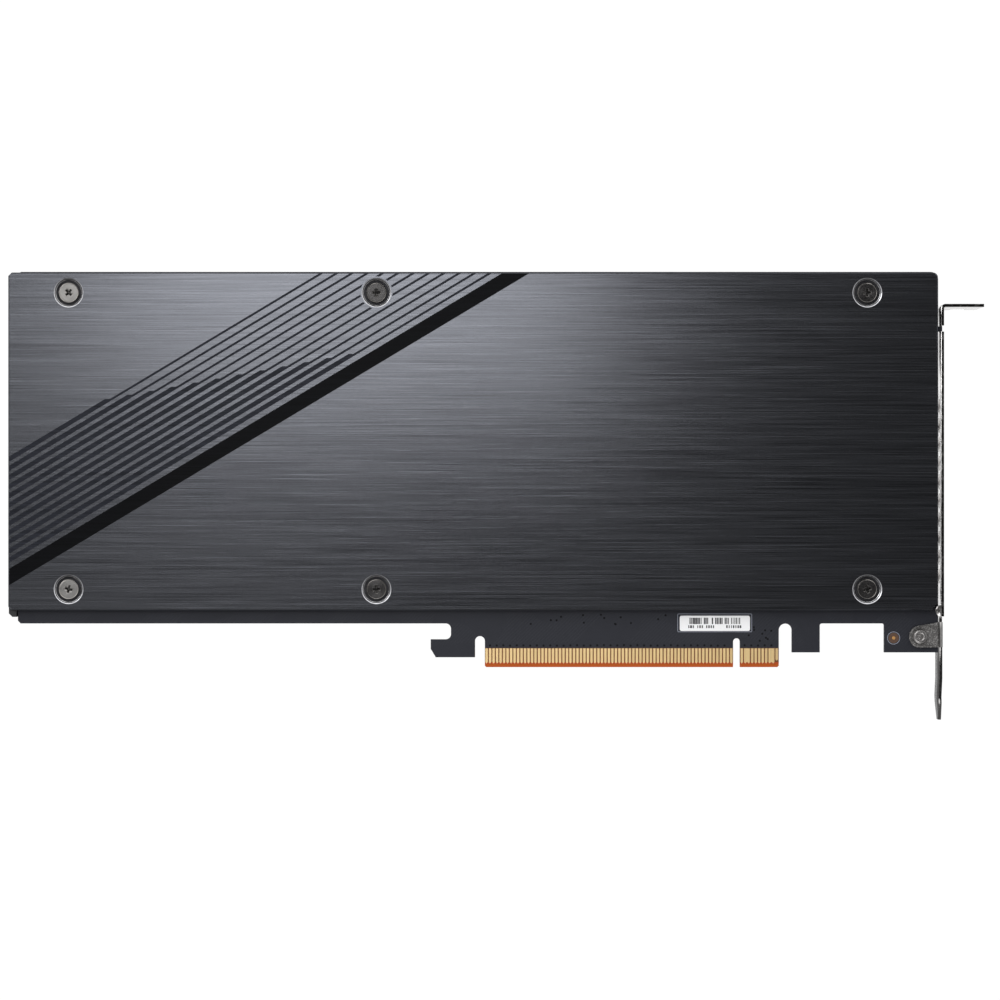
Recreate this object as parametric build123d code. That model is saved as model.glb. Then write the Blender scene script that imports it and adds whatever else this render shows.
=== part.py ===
from build123d import *
import os
from math import cos, radians, sin, sqrt, tan

# Full-length PCIe x16 flash storage card with four plug-in drives and a blower.
# Origin: centre of the key notch at the card-edge bottom, half-way through the board.
# +X points to the bracket, +Y away from the slot, +Z out of the solder side.
# All sizes are in millimetres.

# Circuit board
board_t = 1.57
board_reach = 205.6
bracket_end = 57.7
board_height = 113.1
shoulder = 12.5
board_corner = 0.8
board_round = 2.2
edge_corner = 0.4
bevel_height = 1.0
bevel_angle = 20.0

# Card edge and retention hook
key_width = 1.95
key_depth = 8.25
tongue_reach = 72.0
short_tongue = 12.1
hook_slot = 2.8
hook_slot_top = 8.87
hook_stem = 6.9
hook_toe = 5.8
hook_toe_top = 7.95
hook_bottom = 2.83
hook_round = 1.5
hook_cut_x = 1.45
hook_cut_y = 2.4
right_slot = 3.72
right_slot_top = 12.45
foot_bottom = 4.22
block_width = 8.0
gap_width = 18.4
gap_round = 0.6

# Edge contacts
contact_pitch = 1.0
contact_width = 0.68
contact_top = 5.38
contact_bottom = 1.43
contact_tip = 1.03
contact_t = 0.05
short_contact_rise = 0.8
pins_short_side = 11
pins_total = 82
joined_pairs_rear = ((2, 3), (9, 10))
short_pins_rear = (1,)
short_pins_front = (17, 31, 48, 81)

# Back plate
plate_t = 1.5
plate_gap = 0.8
end_overhang = 2.5
plate_setback = 0.3
plate_rise = 3.85
plate_top_setback = 0.3
plate_left_cut = 1.0
plate_round = 1.4
plate_cut_corner = 1.8
plate_edge = 0.3

# Back plate screws, sunk in pockets
screw_r = 1.5
screw_head_r = 2.9
screw_head_t = 1.2
screw_sunk = 0.25
screw_grip = 5.0
screw_tip_room = 0.5
cross_long = 2.5
cross_wide = 0.55
cross_deep = 0.8
pocket_r = 4.25
pocket_floor_r = 3.65
pocket_mouth = 0.5
dimple_wall = 0.75
screw_left_inset = 17.25
screw_mid_inset = 105.15
screw_right_inset = 20.2
screw_low_inset = 6.0
screw_high_inset = 5.75

# Stripes printed on the back plate
print_t = 0.05
stripe_angle = 30.95
band_run = 116.3
band_width = 4.03
stripe_count = 12
stripe_pitch = 4.37
band_to_stripe = 3.45
stripe_thin = 0.62
stripe_thick = 1.3
step_x = 27.83
step_drop = 36.4
step_run = 6.34
step_rise = 1.14
pocket_margin = 0.35

# Slot bracket
bracket_t = 0.86
bracket_w = 18.42
bracket_back = 2.84
bracket_gap = 0.5
flange_top = 103.8
flange_reach = 11.43
flange_bend = 0.45
flange_corner = 1.3
notch_w = 4.42
notch_depth = 5.4
notch_from_end = 5.6
tongue_w = 10.19
tongue_start = 4.2
tongue_end = 15.3
tongue_taper = 5.0
tongue_tip_w = 3.6
joggle = 0.25
joggle_start = 3.2
joggle_end = 8.6
ear_low = 5.69
ear_high = 12.9
ear_hole_x = 5.7
ear_hole_y = 8.75
ear_r = 3.2
ear_relief = 1.7
relief_depth = 4.8
slit_below_top = 6.15
slit_w = 1.75
lug_short = 0.2
nub_r = 1.6
nub_y = 16.25
vent_across = 4.3
vent_rib = 1.1
vent_rows = 3
vent_low = 26.0
vent_top_gap = 12.0
rivet_head_r = 2.15
rivet_head_t = 0.7
rivet_dish_r = 1.2
rivet_dish_deep = 0.35
rivet_r = 1.5
rivet_tail_r = 2.3

# Front cover
cover_wall = 1.5
cover_proud = 0.19
cover_bottom = 14.4
cover_setback = 2.6
cover_end_gap = 0.3
cover_edge = 0.8
post_r = 3.5
grille_hub_r = 4.0
grille_gap = 4.2
grille_ring = 1.2
grille_rings = 3
grille_spokes = 6
spoke_w = 1.4
cover_screw_r = 1.5
cover_screw_head_r = 2.8
cover_screw_grip = 4.0

# Drives with their sockets: they fill the cover's height and the room between the screws
drive_count = 4
drive_low_gap = 2.85
drive_high_gap = 0.65
drive_gap = 1.3
drive_end_room = 21.25
drive_t = 0.8
drive_lift = 2.45
drive_tab_step = 1.075
drive_tab_len = 4.0
drive_key_w = 1.2
drive_key_from_edge = 5.0
drive_key_root = 0.5
drive_notch_r = 1.75
socket_len = 8.0
socket_step = 0.05
socket_t = 4.1
standoff_r = 2.5
drive_screw_r = 1.0
drive_screw_head_r = 2.3
drive_screw_head_t = 0.7
drive_screw_end_gap = 0.6
chip_t = 1.2
controller_from_socket = 4.0
controller_side = 3.0
buffer_gap = 3.0
buffer_long = 11.0
buffer_side = 4.0
flash_gap = 3.75
flash_long = 13.5
flash_side = 2.0
flash_between = 2.1
flash_end_gap = 1.0

# Heatsink and thermal pads
pad_t = 0.8
pad_side = 1.75
pad_inset = 3.0
sink_base_t = 2.0
leg_r = 3.7
leg_clear = 1.2
fin_t = 1.1
fin_pitch = 4.05
fin_clear = 0.3

# Blower
fan_from_end = 58.1
fan_t = 11.0
fan_cap_t = 1.0
fan_base_t = 1.2
fan_wall = 1.5
inlet_r = 19.0
rotor_r = 26.0
scroll_gap = 3.0
scroll_step = 3.0
outlet_run = 36.0
tongue_angle = 35.0
outlet_drop = 20.0
rotor_gap = 0.8
rotor_floor_gap = 0.6
hub_r = 13.0
hub_wall = 0.8
hub_top_t = 1.0
hub_boss_r = 2.2
hub_boss_len = 0.6
shaft_cap = 0.35
shaft_floor_gap = 0.1
rotor_disc_t = 0.8
blade_count = 25
blade_in_r = 18.5
blade_curve_r = 8.0
blade_centre_r = 25.0
blade_t = 0.7
tip_ring_w = 1.0
tip_ring_t = 0.7
magnet_t = 1.2
magnet_len = 5.4
shaft_r = 1.0
bearing_clear = 0.04
tube_r = 4.0
tube_wall = 1.0
tube_gap = 0.2
bearing_sunk = 0.2
press_gap = 0.02
core_len = 3.0
core_back_r = 5.5
core_tooth_w = 2.0
core_pole_r = 10.4
core_pole_t = 1.3
core_poles = 6
pole_arc = 42.0
coil_build = 1.0
fan_board_t = 0.4
ear_disc_r = 3.5
boss_r = 2.75
fan_screw_r = 1.25
fan_screw_head_r = 2.4
fan_screw_head_t = 0.9
fan_screw_grip = 3.75
fan_ear_angles = (135.0, 225.0, 300.0)
fan_ear_reach = 5.5

# Small parts on the board's front
inductor_size = 7.0
inductor_t = 4.2
inductor_count = 3
inductor_pitch = 13.0
inductor_low = 30.0
inductor_edge = 0.5
capacitor_r = 3.0
capacitor_len = 7.0
capacitor_base_t = 0.8
capacitor_foot_edge = 0.15
capacitor_from_end = 7.7
capacitor_count = 4
capacitor_pitch = 11.0
capacitor_low = 34.0
regulator_size = 8.0
regulator_t = 1.0
parts_from_leg = 3.5
header_long = 10.0
header_wide = 4.6
header_t = 5.0
header_wall = 0.7

# Serial label on the board's back
label_left = -16.25
label_w = 20.1
label_low = 10.36
label_h = 4.37
label_t = 0.08

# Working values
hole_gap = 0.15
thread_gap = 0.05
past = 2.0

# Heights through the card, worked out from the sizes above
z_back = board_t / 2
z_front = -board_t / 2
z_plate = z_back + plate_gap
z_plate_top = z_plate + plate_t
z_screw_top = z_plate_top - screw_sunk
z_pocket = z_screw_top - screw_head_t
z_near = z_back + bracket_back
z_far = z_near - bracket_w
z_cover = z_far - cover_proud
z_inside = z_cover + cover_wall
z_drive = z_front - drive_lift
z_drive_top = z_drive - drive_t
z_chip_top = z_drive_top - chip_t
z_sink = z_chip_top - pad_t
z_sink_top = z_sink - sink_base_t
z_fin = z_inside + fin_clear
z_fan_cap = z_inside + fan_cap_t
z_fan_base = z_inside + fan_t
z_fan_floor = z_fan_base - fan_base_t
z_rotor = z_fan_cap + rotor_gap
z_rotor_open = z_fan_floor - rotor_floor_gap

# Places across the card, worked out from the sizes above
board_left = -board_reach
plate_left = board_left - end_overhang
plate_right = bracket_end - plate_setback
plate_bottom = shoulder + plate_rise
plate_top = board_height - plate_top_setback
screw_cols = (
    plate_left + screw_left_inset,
    plate_left + screw_mid_inset,
    plate_right - screw_right_inset,
)
screw_rows = (plate_bottom + screw_low_inset, plate_top - screw_high_inset)
bay_mid = (screw_rows[0] + screw_rows[1]) / 2
cover_right = bracket_end - cover_setback
drives_low = cover_bottom + cover_wall + drive_low_gap
drives_high = plate_top - cover_wall - drive_high_gap
drive_w = (drives_high - drives_low - (drive_count - 1) * drive_gap) / drive_count
drive_rows = [drives_low + drive_w / 2 + i * (drive_w + drive_gap) for i in range(drive_count)]
socket_x = screw_cols[1] + leg_r + leg_clear
drive_x = socket_x + socket_len
drive_end = screw_cols[2] - drive_end_room
drive_tab_w = drive_w - 2 * drive_tab_step
socket_w = drive_w - 2 * socket_step
pad_w = drive_w - 2 * pad_side
controller_x = drive_x + controller_from_socket
controller_w = drive_w - 2 * controller_side
buffer_x = controller_x + controller_w + buffer_gap
buffer_w = drive_w - 2 * buffer_side
flash_x = buffer_x + buffer_long + flash_gap
flash_w = drive_w - 2 * flash_side
flash_pitch = flash_long + flash_between
flash_room = drive_end - drive_screw_head_r - flash_end_gap - flash_x
flash_count = int((flash_room + flash_between) // flash_pitch)
face_in = bracket_end + bracket_gap
face_out = face_in + bracket_t
fan_x = plate_left + fan_from_end
fan_y = bay_mid
parts_x = screw_cols[2] + leg_r + parts_from_leg
slit_high = flange_top - slit_below_top
slit_low = slit_high - slit_w
rivet_x = bracket_end + bracket_gap - ear_hole_x
key_side = 1.5 * contact_pitch
grille_r = grille_hub_r + grille_rings * (grille_gap + grille_ring) - grille_ring


def rect(x0, x1, y0, y1):
    """A rectangle between two corners."""
    return Pos((x0 + x1) / 2, (y0 + y1) / 2) * Rectangle(x1 - x0, y1 - y0)


def shape(*points):
    """A straight-sided outline through the given points."""
    return Polygon(*points, align=None)


def slab(outline, z0, z1):
    """An outline given its thickness between two heights."""
    return extrude(Pos(0, 0, min(z0, z1)) * outline, amount=abs(z1 - z0), dir=(0, 0, 1))


def block(x0, x1, y0, y1, z0, z1):
    """A box between two corners."""
    size = Box(abs(x1 - x0), abs(y1 - y0), abs(z1 - z0))
    return Pos((x0 + x1) / 2, (y0 + y1) / 2, (z0 + z1) / 2) * size


def disc(x, y, r, z0, z1):
    """A round bar along Z between two heights."""
    return Pos(x, y, (z0 + z1) / 2) * Cylinder(r, abs(z1 - z0))


def corner(outline, x, y):
    """The corner of an outline nearest to a place."""
    return outline.vertices().sort_by_distance((x, y, 0))[0]


def group(pieces):
    """Separate solids kept together in one node."""
    return Compound([s for piece in pieces for s in piece.solids()])


def along_x(outline, x0, x1):
    """An outline drawn in (Y, Z), given its thickness along X."""
    plane = Plane(origin=(x0, 0, 0), x_dir=(0, 1, 0), z_dir=(1, 0, 0))
    return extrude(plane * outline, amount=x1 - x0, dir=(1, 0, 0))


def along_y(outline, y0, y1):
    """An outline drawn in (X, Z), given its thickness along Y."""
    plane = Plane(origin=(0, y0, 0), x_dir=(1, 0, 0), z_dir=(0, -1, 0))
    return extrude(plane * outline, amount=y1 - y0, dir=(0, 1, 0))


def pin_x(pin):
    """Centre of an edge contact: pin 1 is next to the bracket, and the key is after pin 11."""
    x = key_side + (pins_short_side - pin) * contact_pitch
    if pin <= pins_short_side:
        return x
    return x - 2 * key_side + contact_pitch


def round_slot(x0, x1, top):
    """A slot open at the bottom with a half-round top."""
    r = (x1 - x0) / 2
    return rect(x0, x1, -past, top - r) + Pos(x0 + r, top - r) * Circle(r)


def board_outline():
    """The board seen from its back: main field, lug, hook, card edge, block and foot."""
    slot_left = -tongue_reach - hook_slot
    wall_x = slot_left - hook_stem
    toe_x = wall_x - hook_toe
    block_left = short_tongue + right_slot
    block_right = block_left + block_width
    foot_left = block_right + gap_width
    field = rect(board_left, bracket_end, shoulder, board_height)
    field = chamfer(
        [corner(field, board_left, shoulder), corner(field, board_left, board_height)],
        board_corner,
    )
    field = fillet(corner(field, bracket_end, board_height), board_round)
    lug_end = face_out - lug_short
    field += rect(bracket_end, lug_end, slit_low + hole_gap, slit_high - hole_gap)
    edge = rect(-tongue_reach, short_tongue, 0, shoulder)
    ends = [corner(edge, -tongue_reach, 0), corner(edge, short_tongue, 0)]
    edge = chamfer(ends, edge_corner)
    hook = rect(wall_x, -tongue_reach, hook_bottom, shoulder)
    hook += rect(toe_x, wall_x, hook_bottom, hook_toe_top)
    right = rect(short_tongue, block_right, foot_bottom, shoulder)
    right += rect(foot_left, bracket_end, foot_bottom, shoulder)
    outline = field + edge + hook + right
    outline -= round_slot(-key_width / 2, key_width / 2, key_depth)
    outline -= round_slot(slot_left, -tongue_reach, hook_slot_top)
    outline -= round_slot(short_tongue, block_left, right_slot_top)
    cut = shape(
        (toe_x, hook_bottom),
        (toe_x + hook_cut_x, hook_bottom),
        (toe_x, hook_bottom + hook_cut_y),
    )
    outline -= cut
    inner = [corner(outline, wall_x, shoulder), corner(outline, wall_x, hook_toe_top)]
    outline = fillet(inner, hook_round)
    gap = [corner(outline, block_right, shoulder), corner(outline, foot_left, shoulder)]
    return fillet(gap, gap_round)


def board_holes():
    """Places and radii of the holes through the board."""
    holes = [(x, y, screw_r + hole_gap) for x in screw_cols for y in screw_rows]
    holes.append((rivet_x, ear_hole_y, rivet_r + hole_gap))
    return holes


def circuit_board():
    """The board with its holes and the bevelled card edge."""
    board = slab(board_outline(), z_front, z_back)
    depth = bevel_height * tan(radians(bevel_angle))
    for side in (-1, 1):
        face = side * z_back
        wedge = shape(
            (0, face - side * depth),
            (bevel_height, face),
            (bevel_height, face + side),
            (-past, face + side),
            (-past, face - side * depth),
        )
        board -= along_x(wedge, -tongue_reach - past / 4, short_tongue + past / 4)
    board -= [disc(x, y, r, z_front - past, z_back + past) for x, y, r in board_holes()]
    return board


def contact(pins, bottom_rise):
    """One contact, or a pair joined in one, with a point at the bottom of each."""
    half = contact_width / 2
    xs = [pin_x(pin) for pin in pins]
    bottom = contact_bottom + bottom_rise
    pad = rect(min(xs) - half, max(xs) + half, bottom, contact_top)
    for x in xs:
        pad += shape((x - half, bottom), (x, contact_tip + bottom_rise), (x + half, bottom))
    return pad


def contacts(joined, short_pins, z0, z1):
    """All contacts of one side of the card edge."""
    taken = [pin for pair in joined for pin in pair]
    groups = list(joined) + [(pin,) for pin in range(1, pins_total + 1) if pin not in taken]
    pads = []
    for pins in groups:
        rise = short_contact_rise if pins[0] in short_pins else 0
        pads.append(slab(contact(pins, rise), z0, z1))
    return group(pads)


def plate_outline():
    """The back plate: cut corners at the left, a round one and a cut one at the bracket."""
    outline = rect(plate_left, plate_right, plate_bottom, plate_top)
    left = [corner(outline, plate_left, plate_bottom), corner(outline, plate_left, plate_top)]
    outline = chamfer(left, plate_left_cut)
    outline = chamfer(corner(outline, plate_right, plate_bottom), plate_cut_corner)
    return fillet(corner(outline, plate_right, plate_top), plate_round)


def back_plate():
    """A thin plate with a dimple round each screw, whose underside sits on the board."""
    plate = slab(plate_outline(), z_plate, z_plate_top)
    rim = plate.faces().sort_by(Axis.Z)[-1].edges()
    plate = chamfer(rim, plate_edge)
    for x in screw_cols:
        for y in screw_rows:
            plate += disc(x, y, pocket_floor_r + dimple_wall, z_back, z_plate + plate_t / 2)
            plate -= disc(x, y, pocket_floor_r, z_pocket, z_plate_top)
            seat = (Align.CENTER, Align.CENTER, Align.MAX)
            plate -= Pos(x, y, z_plate_top) * Cone(pocket_floor_r, pocket_r, pocket_mouth, align=seat)
            plate -= disc(x, y, screw_r + hole_gap, z_back - past, z_plate_top)
    return plate


def stripe_point(along, across):
    """A place on the plate: along the stripes' direction from the band's top corner, and across."""
    angle = radians(stripe_angle)
    x = plate_right - band_run - along * cos(angle) - across * sin(angle)
    y = plate_top - along * sin(angle) + across * cos(angle)
    return (x, y)


def band():
    """The wide band, from the left edge to the top edge."""
    length = (plate_right - plate_left) * 2
    return shape(
        stripe_point(-length, 0),
        stripe_point(length, 0),
        stripe_point(length, band_width),
        stripe_point(-length, band_width),
    )


def stripe(index):
    """One stripe: thin towards the top edge, and thicker past its step towards the left edge."""
    angle = radians(stripe_angle)
    length = (plate_right - plate_left) * 2
    centre = band_width + (band_to_stripe + (stripe_count - 1 - index) * stripe_pitch) * sin(angle)
    low = centre - stripe_thin / 2
    high = centre + stripe_thin / 2
    thick = low + stripe_thick
    x = plate_left + step_x + index * step_run
    y = plate_top - step_drop + index * step_rise
    top_x, top_y = stripe_point(0, 0)
    reach = (top_x - x) * cos(angle) + (top_y - y) * sin(angle)
    slope = (thick - high) / tan(angle)
    return shape(
        stripe_point(-length, low),
        stripe_point(length, low),
        stripe_point(length, thick),
        stripe_point(reach, thick),
        stripe_point(reach - slope, high),
        stripe_point(-length, high),
    )


def stripe_print():
    """The band and stripes, kept inside the plate's flat top and clear of the pockets."""
    inside = offset(plate_outline(), amount=-plate_edge, kind=Kind.INTERSECTION)
    for x in screw_cols:
        for y in screw_rows:
            inside -= Pos(x, y) * Circle(pocket_r + pocket_margin)
    marks = [band()] + [stripe(i) for i in range(stripe_count)]
    return group([slab(inside & mark, z_plate_top, z_plate_top + print_t) for mark in marks])


def cross_recess(x, y, z_top):
    """The cross cut in a screw's head."""
    slot_a = block(x - cross_long / 2, x + cross_long / 2, y - cross_wide / 2, y + cross_wide / 2,
                   z_top - cross_deep, z_top + past)
    slot_b = block(x - cross_wide / 2, x + cross_wide / 2, y - cross_long / 2, y + cross_long / 2,
                   z_top - cross_deep, z_top + past)
    return slot_a + slot_b


def back_plate_screws():
    """Six screws through the plate and the board into the posts in front of it."""
    screws = []
    for x in screw_cols:
        for y in screw_rows:
            screw = disc(x, y, screw_head_r, z_pocket, z_screw_top)
            screw += disc(x, y, screw_r, z_front - screw_grip, z_pocket)
            screws.append(screw - cross_recess(x, y, z_screw_top))
    return group(screws)


def back_thermal_pads():
    """Pads that carry heat from the board into the back plate, behind the drives."""
    x0 = drive_x + pad_inset
    x1 = drive_end - drive_notch_r - pad_inset
    return group([block(x0, x1, y - pad_w / 2, y + pad_w / 2, z_back, z_plate) for y in drive_rows])


def grille_openings():
    """The gaps between the rings and spokes over the blower's inlet."""
    gaps = None
    for ring in range(grille_rings):
        r0 = grille_hub_r + ring * (grille_gap + grille_ring)
        gap = Circle(r0 + grille_gap) - Circle(r0)
        gaps = gap if gaps is None else gaps + gap
    for spoke in range(grille_spokes):
        arm = Rectangle(grille_r + past, spoke_w, align=(Align.MIN, Align.CENTER))
        gaps -= Rot(0, 0, spoke * 360 / grille_spokes) * arm
    return Pos(fan_x, fan_y) * gaps


def cover_body():
    """The cover's open box and the end wall that reaches up past the board's end."""
    outline = rect(plate_left, cover_right, cover_bottom, plate_top)
    left = [corner(outline, plate_left, cover_bottom), corner(outline, plate_left, plate_top)]
    outline = chamfer(left, plate_left_cut)
    body = slab(outline, z_cover, z_front)
    body = chamfer(body.faces().sort_by(Axis.Z)[0].edges(), cover_edge)
    end_in = board_left - cover_end_gap
    hollow = rect(end_in, cover_right + past, cover_bottom + cover_wall, plate_top - cover_wall)
    body -= slab(hollow, z_inside, z_front + past)
    end = outline & rect(plate_left - past, end_in, cover_bottom, plate_top)
    return body + slab(end, z_front, z_plate)


def fan_ear_radius(angle):
    """How far a mounting ear lies from the shaft: just outside the scroll, which grows as it turns."""
    turns = (360 - angle) // 90 + 1
    return rotor_r + scroll_gap + fan_wall + fan_ear_reach + (turns - 1) * scroll_step / 2


def fan_ear_places():
    """Centres of the blower's mounting ears."""
    reaches = [(angle, fan_ear_radius(angle)) for angle in fan_ear_angles]
    return [(fan_x + r * cos(radians(a)), fan_y + r * sin(radians(a))) for a, r in reaches]


def leg_places():
    """Centres of the heatsink's legs, under the middle and right screws."""
    return [(x, y) for x in screw_cols[1:] for y in screw_rows]


def front_cover():
    """The moulded cover: posts for the end screws, bosses for the blower, inlet and screw holes."""
    cover = cover_body()
    for y in screw_rows:
        x = screw_cols[0]
        cover += disc(x, y, post_r, z_cover + cover_wall / 2, z_front)
        cover -= disc(x, y, screw_r + thread_gap, z_front - screw_grip - screw_tip_room, z_front + past)
    for x, y in fan_ear_places():
        cover += disc(x, y, boss_r, z_cover + cover_wall / 2, z_fan_floor)
        cover -= disc(x, y, fan_screw_r + thread_gap, z_inside + cover_wall, z_fan_floor + past)
    cover -= slab(grille_openings(), z_cover - past, z_inside + cover_wall)
    for x, y in leg_places():
        sink = Cone(
            cover_screw_head_r + hole_gap,
            cover_screw_r + hole_gap,
            cover_wall,
            align=(Align.CENTER, Align.CENTER, Align.MIN),
        )
        cover -= Pos(x, y, z_cover) * sink
    return cover


def cover_screws():
    """Flat-headed screws through the cover into the heatsink's legs."""
    screws = []
    for x, y in leg_places():
        head = Cone(
            cover_screw_head_r,
            cover_screw_r,
            cover_wall - hole_gap,
            align=(Align.CENTER, Align.CENTER, Align.MIN),
        )
        screw = Pos(x, y, z_cover + hole_gap) * head
        screws.append(screw + disc(x, y, cover_screw_r, z_inside, z_inside + cover_screw_grip))
    return group(screws)


def heatsink():
    """A base plate on four legs, with straight fins along the air's way to the bracket."""
    x0, x1 = screw_cols[1], screw_cols[2]
    y0, y1 = screw_rows
    sink = block(x0 - leg_r, x1 + leg_r, y0 - leg_r, y1 + leg_r, z_sink_top, z_sink)
    legs = [disc(x, y, leg_r, z_inside, z_front) for x, y in leg_places()]
    fin_x0 = x0 + leg_r + leg_clear
    fin_x1 = x1 - leg_r - leg_clear
    count = int((y1 - y0 + leg_r) // fin_pitch) + 1
    first = bay_mid - (count - 1) / 2 * fin_pitch
    fins = []
    for i in range(count):
        y = first + i * fin_pitch
        fins.append(block(fin_x0, fin_x1, y - fin_t / 2, y + fin_t / 2, z_fin, z_sink_top))
    bores = [disc(x, y, screw_r + thread_gap, z_inside - past, z_front + past) for x, y in leg_places()]
    return sink + legs + fins - bores


def drive_thermal_pads():
    """Soft pads between the drives' chips and the heatsink."""
    x0 = drive_x + pad_inset
    x1 = drive_end - drive_notch_r - pad_inset
    return group([block(x0, x1, y - pad_w / 2, y + pad_w / 2, z_sink, z_chip_top) for y in drive_rows])


def drive_board(y):
    """A drive's board: contact tab with its key at one end, half-round notch at the other."""
    outline = rect(drive_x, drive_end, y - drive_w / 2, y + drive_w / 2)
    outline += rect(drive_x - drive_tab_len, drive_x, y - drive_tab_w / 2, y + drive_tab_w / 2)
    key = y - drive_tab_w / 2 + drive_key_from_edge
    outline -= rect(drive_x - drive_tab_len - past, drive_x - drive_key_root, key, key + drive_key_w)
    outline -= Pos(drive_end, y) * Circle(drive_notch_r)
    return slab(outline, z_drive_top, z_drive)


def chip(x, y, long, wide):
    """A flat chip package on a drive, from its socket side on."""
    return block(x, x + long, y - wide / 2, y + wide / 2, z_chip_top, z_drive_top)


def controller(y):
    """A drive's square controller chip."""
    return chip(controller_x, y, controller_w, controller_w)


def buffer_memory(y):
    """A drive's buffer memory chip."""
    return chip(buffer_x, y, buffer_long, buffer_w)


def drive_flash(y):
    """The flash packages, in a row as long as the drive has room for."""
    return group([chip(flash_x + i * flash_pitch, y, flash_long, flash_w) for i in range(flash_count)])


def drive_socket(y):
    """A socket with a slot for the drive's tab."""
    body = block(socket_x, drive_x, y - socket_w / 2, y + socket_w / 2, z_front - socket_t, z_front)
    half = drive_tab_w / 2 + hole_gap
    depth = drive_tab_len + hole_gap
    slot = block(drive_x - depth, drive_x + past, y - half, y + half,
                 z_drive_top - hole_gap, z_drive + hole_gap)
    return body - slot


def drive_standoffs():
    """Hexagonal posts on the board under each drive's free end."""
    hexagon = RegularPolygon(standoff_r, 6, major_radius=False)
    posts = []
    for y in drive_rows:
        post = slab(Pos(drive_end, y) * hexagon, z_drive, z_front)
        posts.append(post - disc(drive_end, y, drive_screw_r + thread_gap, z_drive - past, z_front + past))
    return group(posts)


def drive_screws():
    """One small screw for each drive, through its notch into the post."""
    screws = []
    for y in drive_rows:
        screw = disc(drive_end, y, drive_screw_head_r, z_drive_top - drive_screw_head_t, z_drive_top)
        screws.append(screw + disc(drive_end, y, drive_screw_r, z_drive_top, z_front - drive_screw_end_gap))
    return group(screws)


def scroll_room():
    """The air space round the rotor: a spiral of three arcs that opens into a wide outlet."""
    e = scroll_step / 2
    r0 = rotor_r + scroll_gap
    low = (-e, -r0)
    left = (-r0 - scroll_step, e)
    top = (e, r0 + 2 * scroll_step)
    outlet_top = (outlet_run + past, top[1])
    outlet_low = (outlet_run + past, -outlet_drop)
    angle = radians(-tongue_angle)
    lead_r = r0 - e
    cutoff = (-e + lead_r * cos(angle), -e + lead_r * sin(angle))
    to_low = CenterArc((-e, -e), lead_r, -tongue_angle, tongue_angle - 90)
    to_left = CenterArc((-e, e), r0 + e, 270, -90)
    to_top = CenterArc((e, e), r0 + 3 * e, 180, -90)
    lines = [Line(top, outlet_top), Line(outlet_top, outlet_low), Line(outlet_low, cutoff)]
    room = make_face([to_low, to_left, to_top] + lines)
    return Pos(fan_x, fan_y) * room


def scroll_outer():
    """The outside of the blower's housing."""
    outer = offset(scroll_room(), amount=fan_wall, kind=Kind.ARC)
    reach = fan_x + outlet_run
    return outer & rect(fan_x - 3 * rotor_r, reach, fan_y - 3 * rotor_r, fan_y + 3 * rotor_r)


def fan_housing():
    """The moulded scroll: base, wall, bearing tube and three ears."""
    outer = scroll_outer()
    housing = slab(outer, z_fan_cap, z_fan_base)
    housing -= slab(scroll_room(), z_fan_cap - past, z_fan_floor)
    for (x, y), angle in zip(fan_ear_places(), fan_ear_angles):
        arm = rect(rotor_r + scroll_gap, fan_ear_radius(angle), -ear_disc_r, ear_disc_r)
        arm = Pos(fan_x, fan_y) * Rot(0, 0, angle) * arm
        ear = arm + Pos(x, y) * Circle(ear_disc_r)
        ear -= scroll_room()
        housing += slab(ear, z_fan_floor, z_fan_base)
        housing -= disc(x, y, fan_screw_r + hole_gap, z_fan_floor - past, z_fan_base + past)
    tube_end = tube_top()
    tube = disc(fan_x, fan_y, tube_r, tube_end, z_fan_floor)
    tube -= disc(fan_x, fan_y, tube_r - tube_wall, tube_end - past, z_fan_floor)
    return housing + tube


def tube_top():
    """Height of the bearing tube's rim, just under the boss in the rotor's hub."""
    return z_rotor + hub_top_t + hub_boss_len + tube_gap


def fan_top_plate():
    """The blower's lid with its round inlet."""
    lid = slab(scroll_outer(), z_inside, z_fan_cap)
    return lid - disc(fan_x, fan_y, inlet_r, z_inside - past, z_fan_cap + past)


def blade():
    """One curved blade seen along the axis: a band of a circle between two radii."""
    ring = Circle(blade_curve_r + blade_t / 2) - Circle(blade_curve_r - blade_t / 2)
    ring = Pos(blade_centre_r, 0) * ring
    reach = Circle(rotor_r - tip_ring_w / 2) - Circle(blade_in_r)
    return ring & reach & rect(0, 2 * rotor_r, 0, 2 * rotor_r)


def fan_impeller():
    """The rotor moulding: hub cup, disc, curved blades and a ring round their tips."""
    cup = Circle(hub_r)
    hub = slab(cup, z_rotor, z_rotor_open)
    hub -= slab(Circle(hub_r - hub_wall), z_rotor + hub_top_t, z_rotor_open + past)
    floor = slab(Circle(rotor_r) - Circle(hub_r - hub_wall / 2), z_rotor_open - rotor_disc_t, z_rotor_open)
    ring = slab(Circle(rotor_r) - Circle(rotor_r - tip_ring_w), z_rotor, z_rotor + tip_ring_t)
    profile = blade()
    blades = [
        slab(Rot(0, 0, i * 360 / blade_count) * profile, z_rotor + tip_ring_t / 2,
             z_rotor_open - rotor_disc_t / 2)
        for i in range(blade_count)
    ]
    boss = disc(0, 0, hub_boss_r, z_rotor + hub_top_t / 2, z_rotor + hub_top_t + hub_boss_len)
    rotor = hub + [floor, ring, boss] + blades
    rotor -= disc(0, 0, shaft_r + press_gap, z_rotor + shaft_cap, z_rotor_open)
    return Pos(fan_x, fan_y) * rotor


def fan_magnet_ring():
    """The ring magnet inside the hub cup."""
    r = hub_r - hub_wall - press_gap
    z0 = z_rotor_open - magnet_len - rotor_gap / 2
    ring = disc(fan_x, fan_y, r, z0, z0 + magnet_len)
    return ring - disc(fan_x, fan_y, r - magnet_t, z0 - past, z0 + magnet_len + past)


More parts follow.
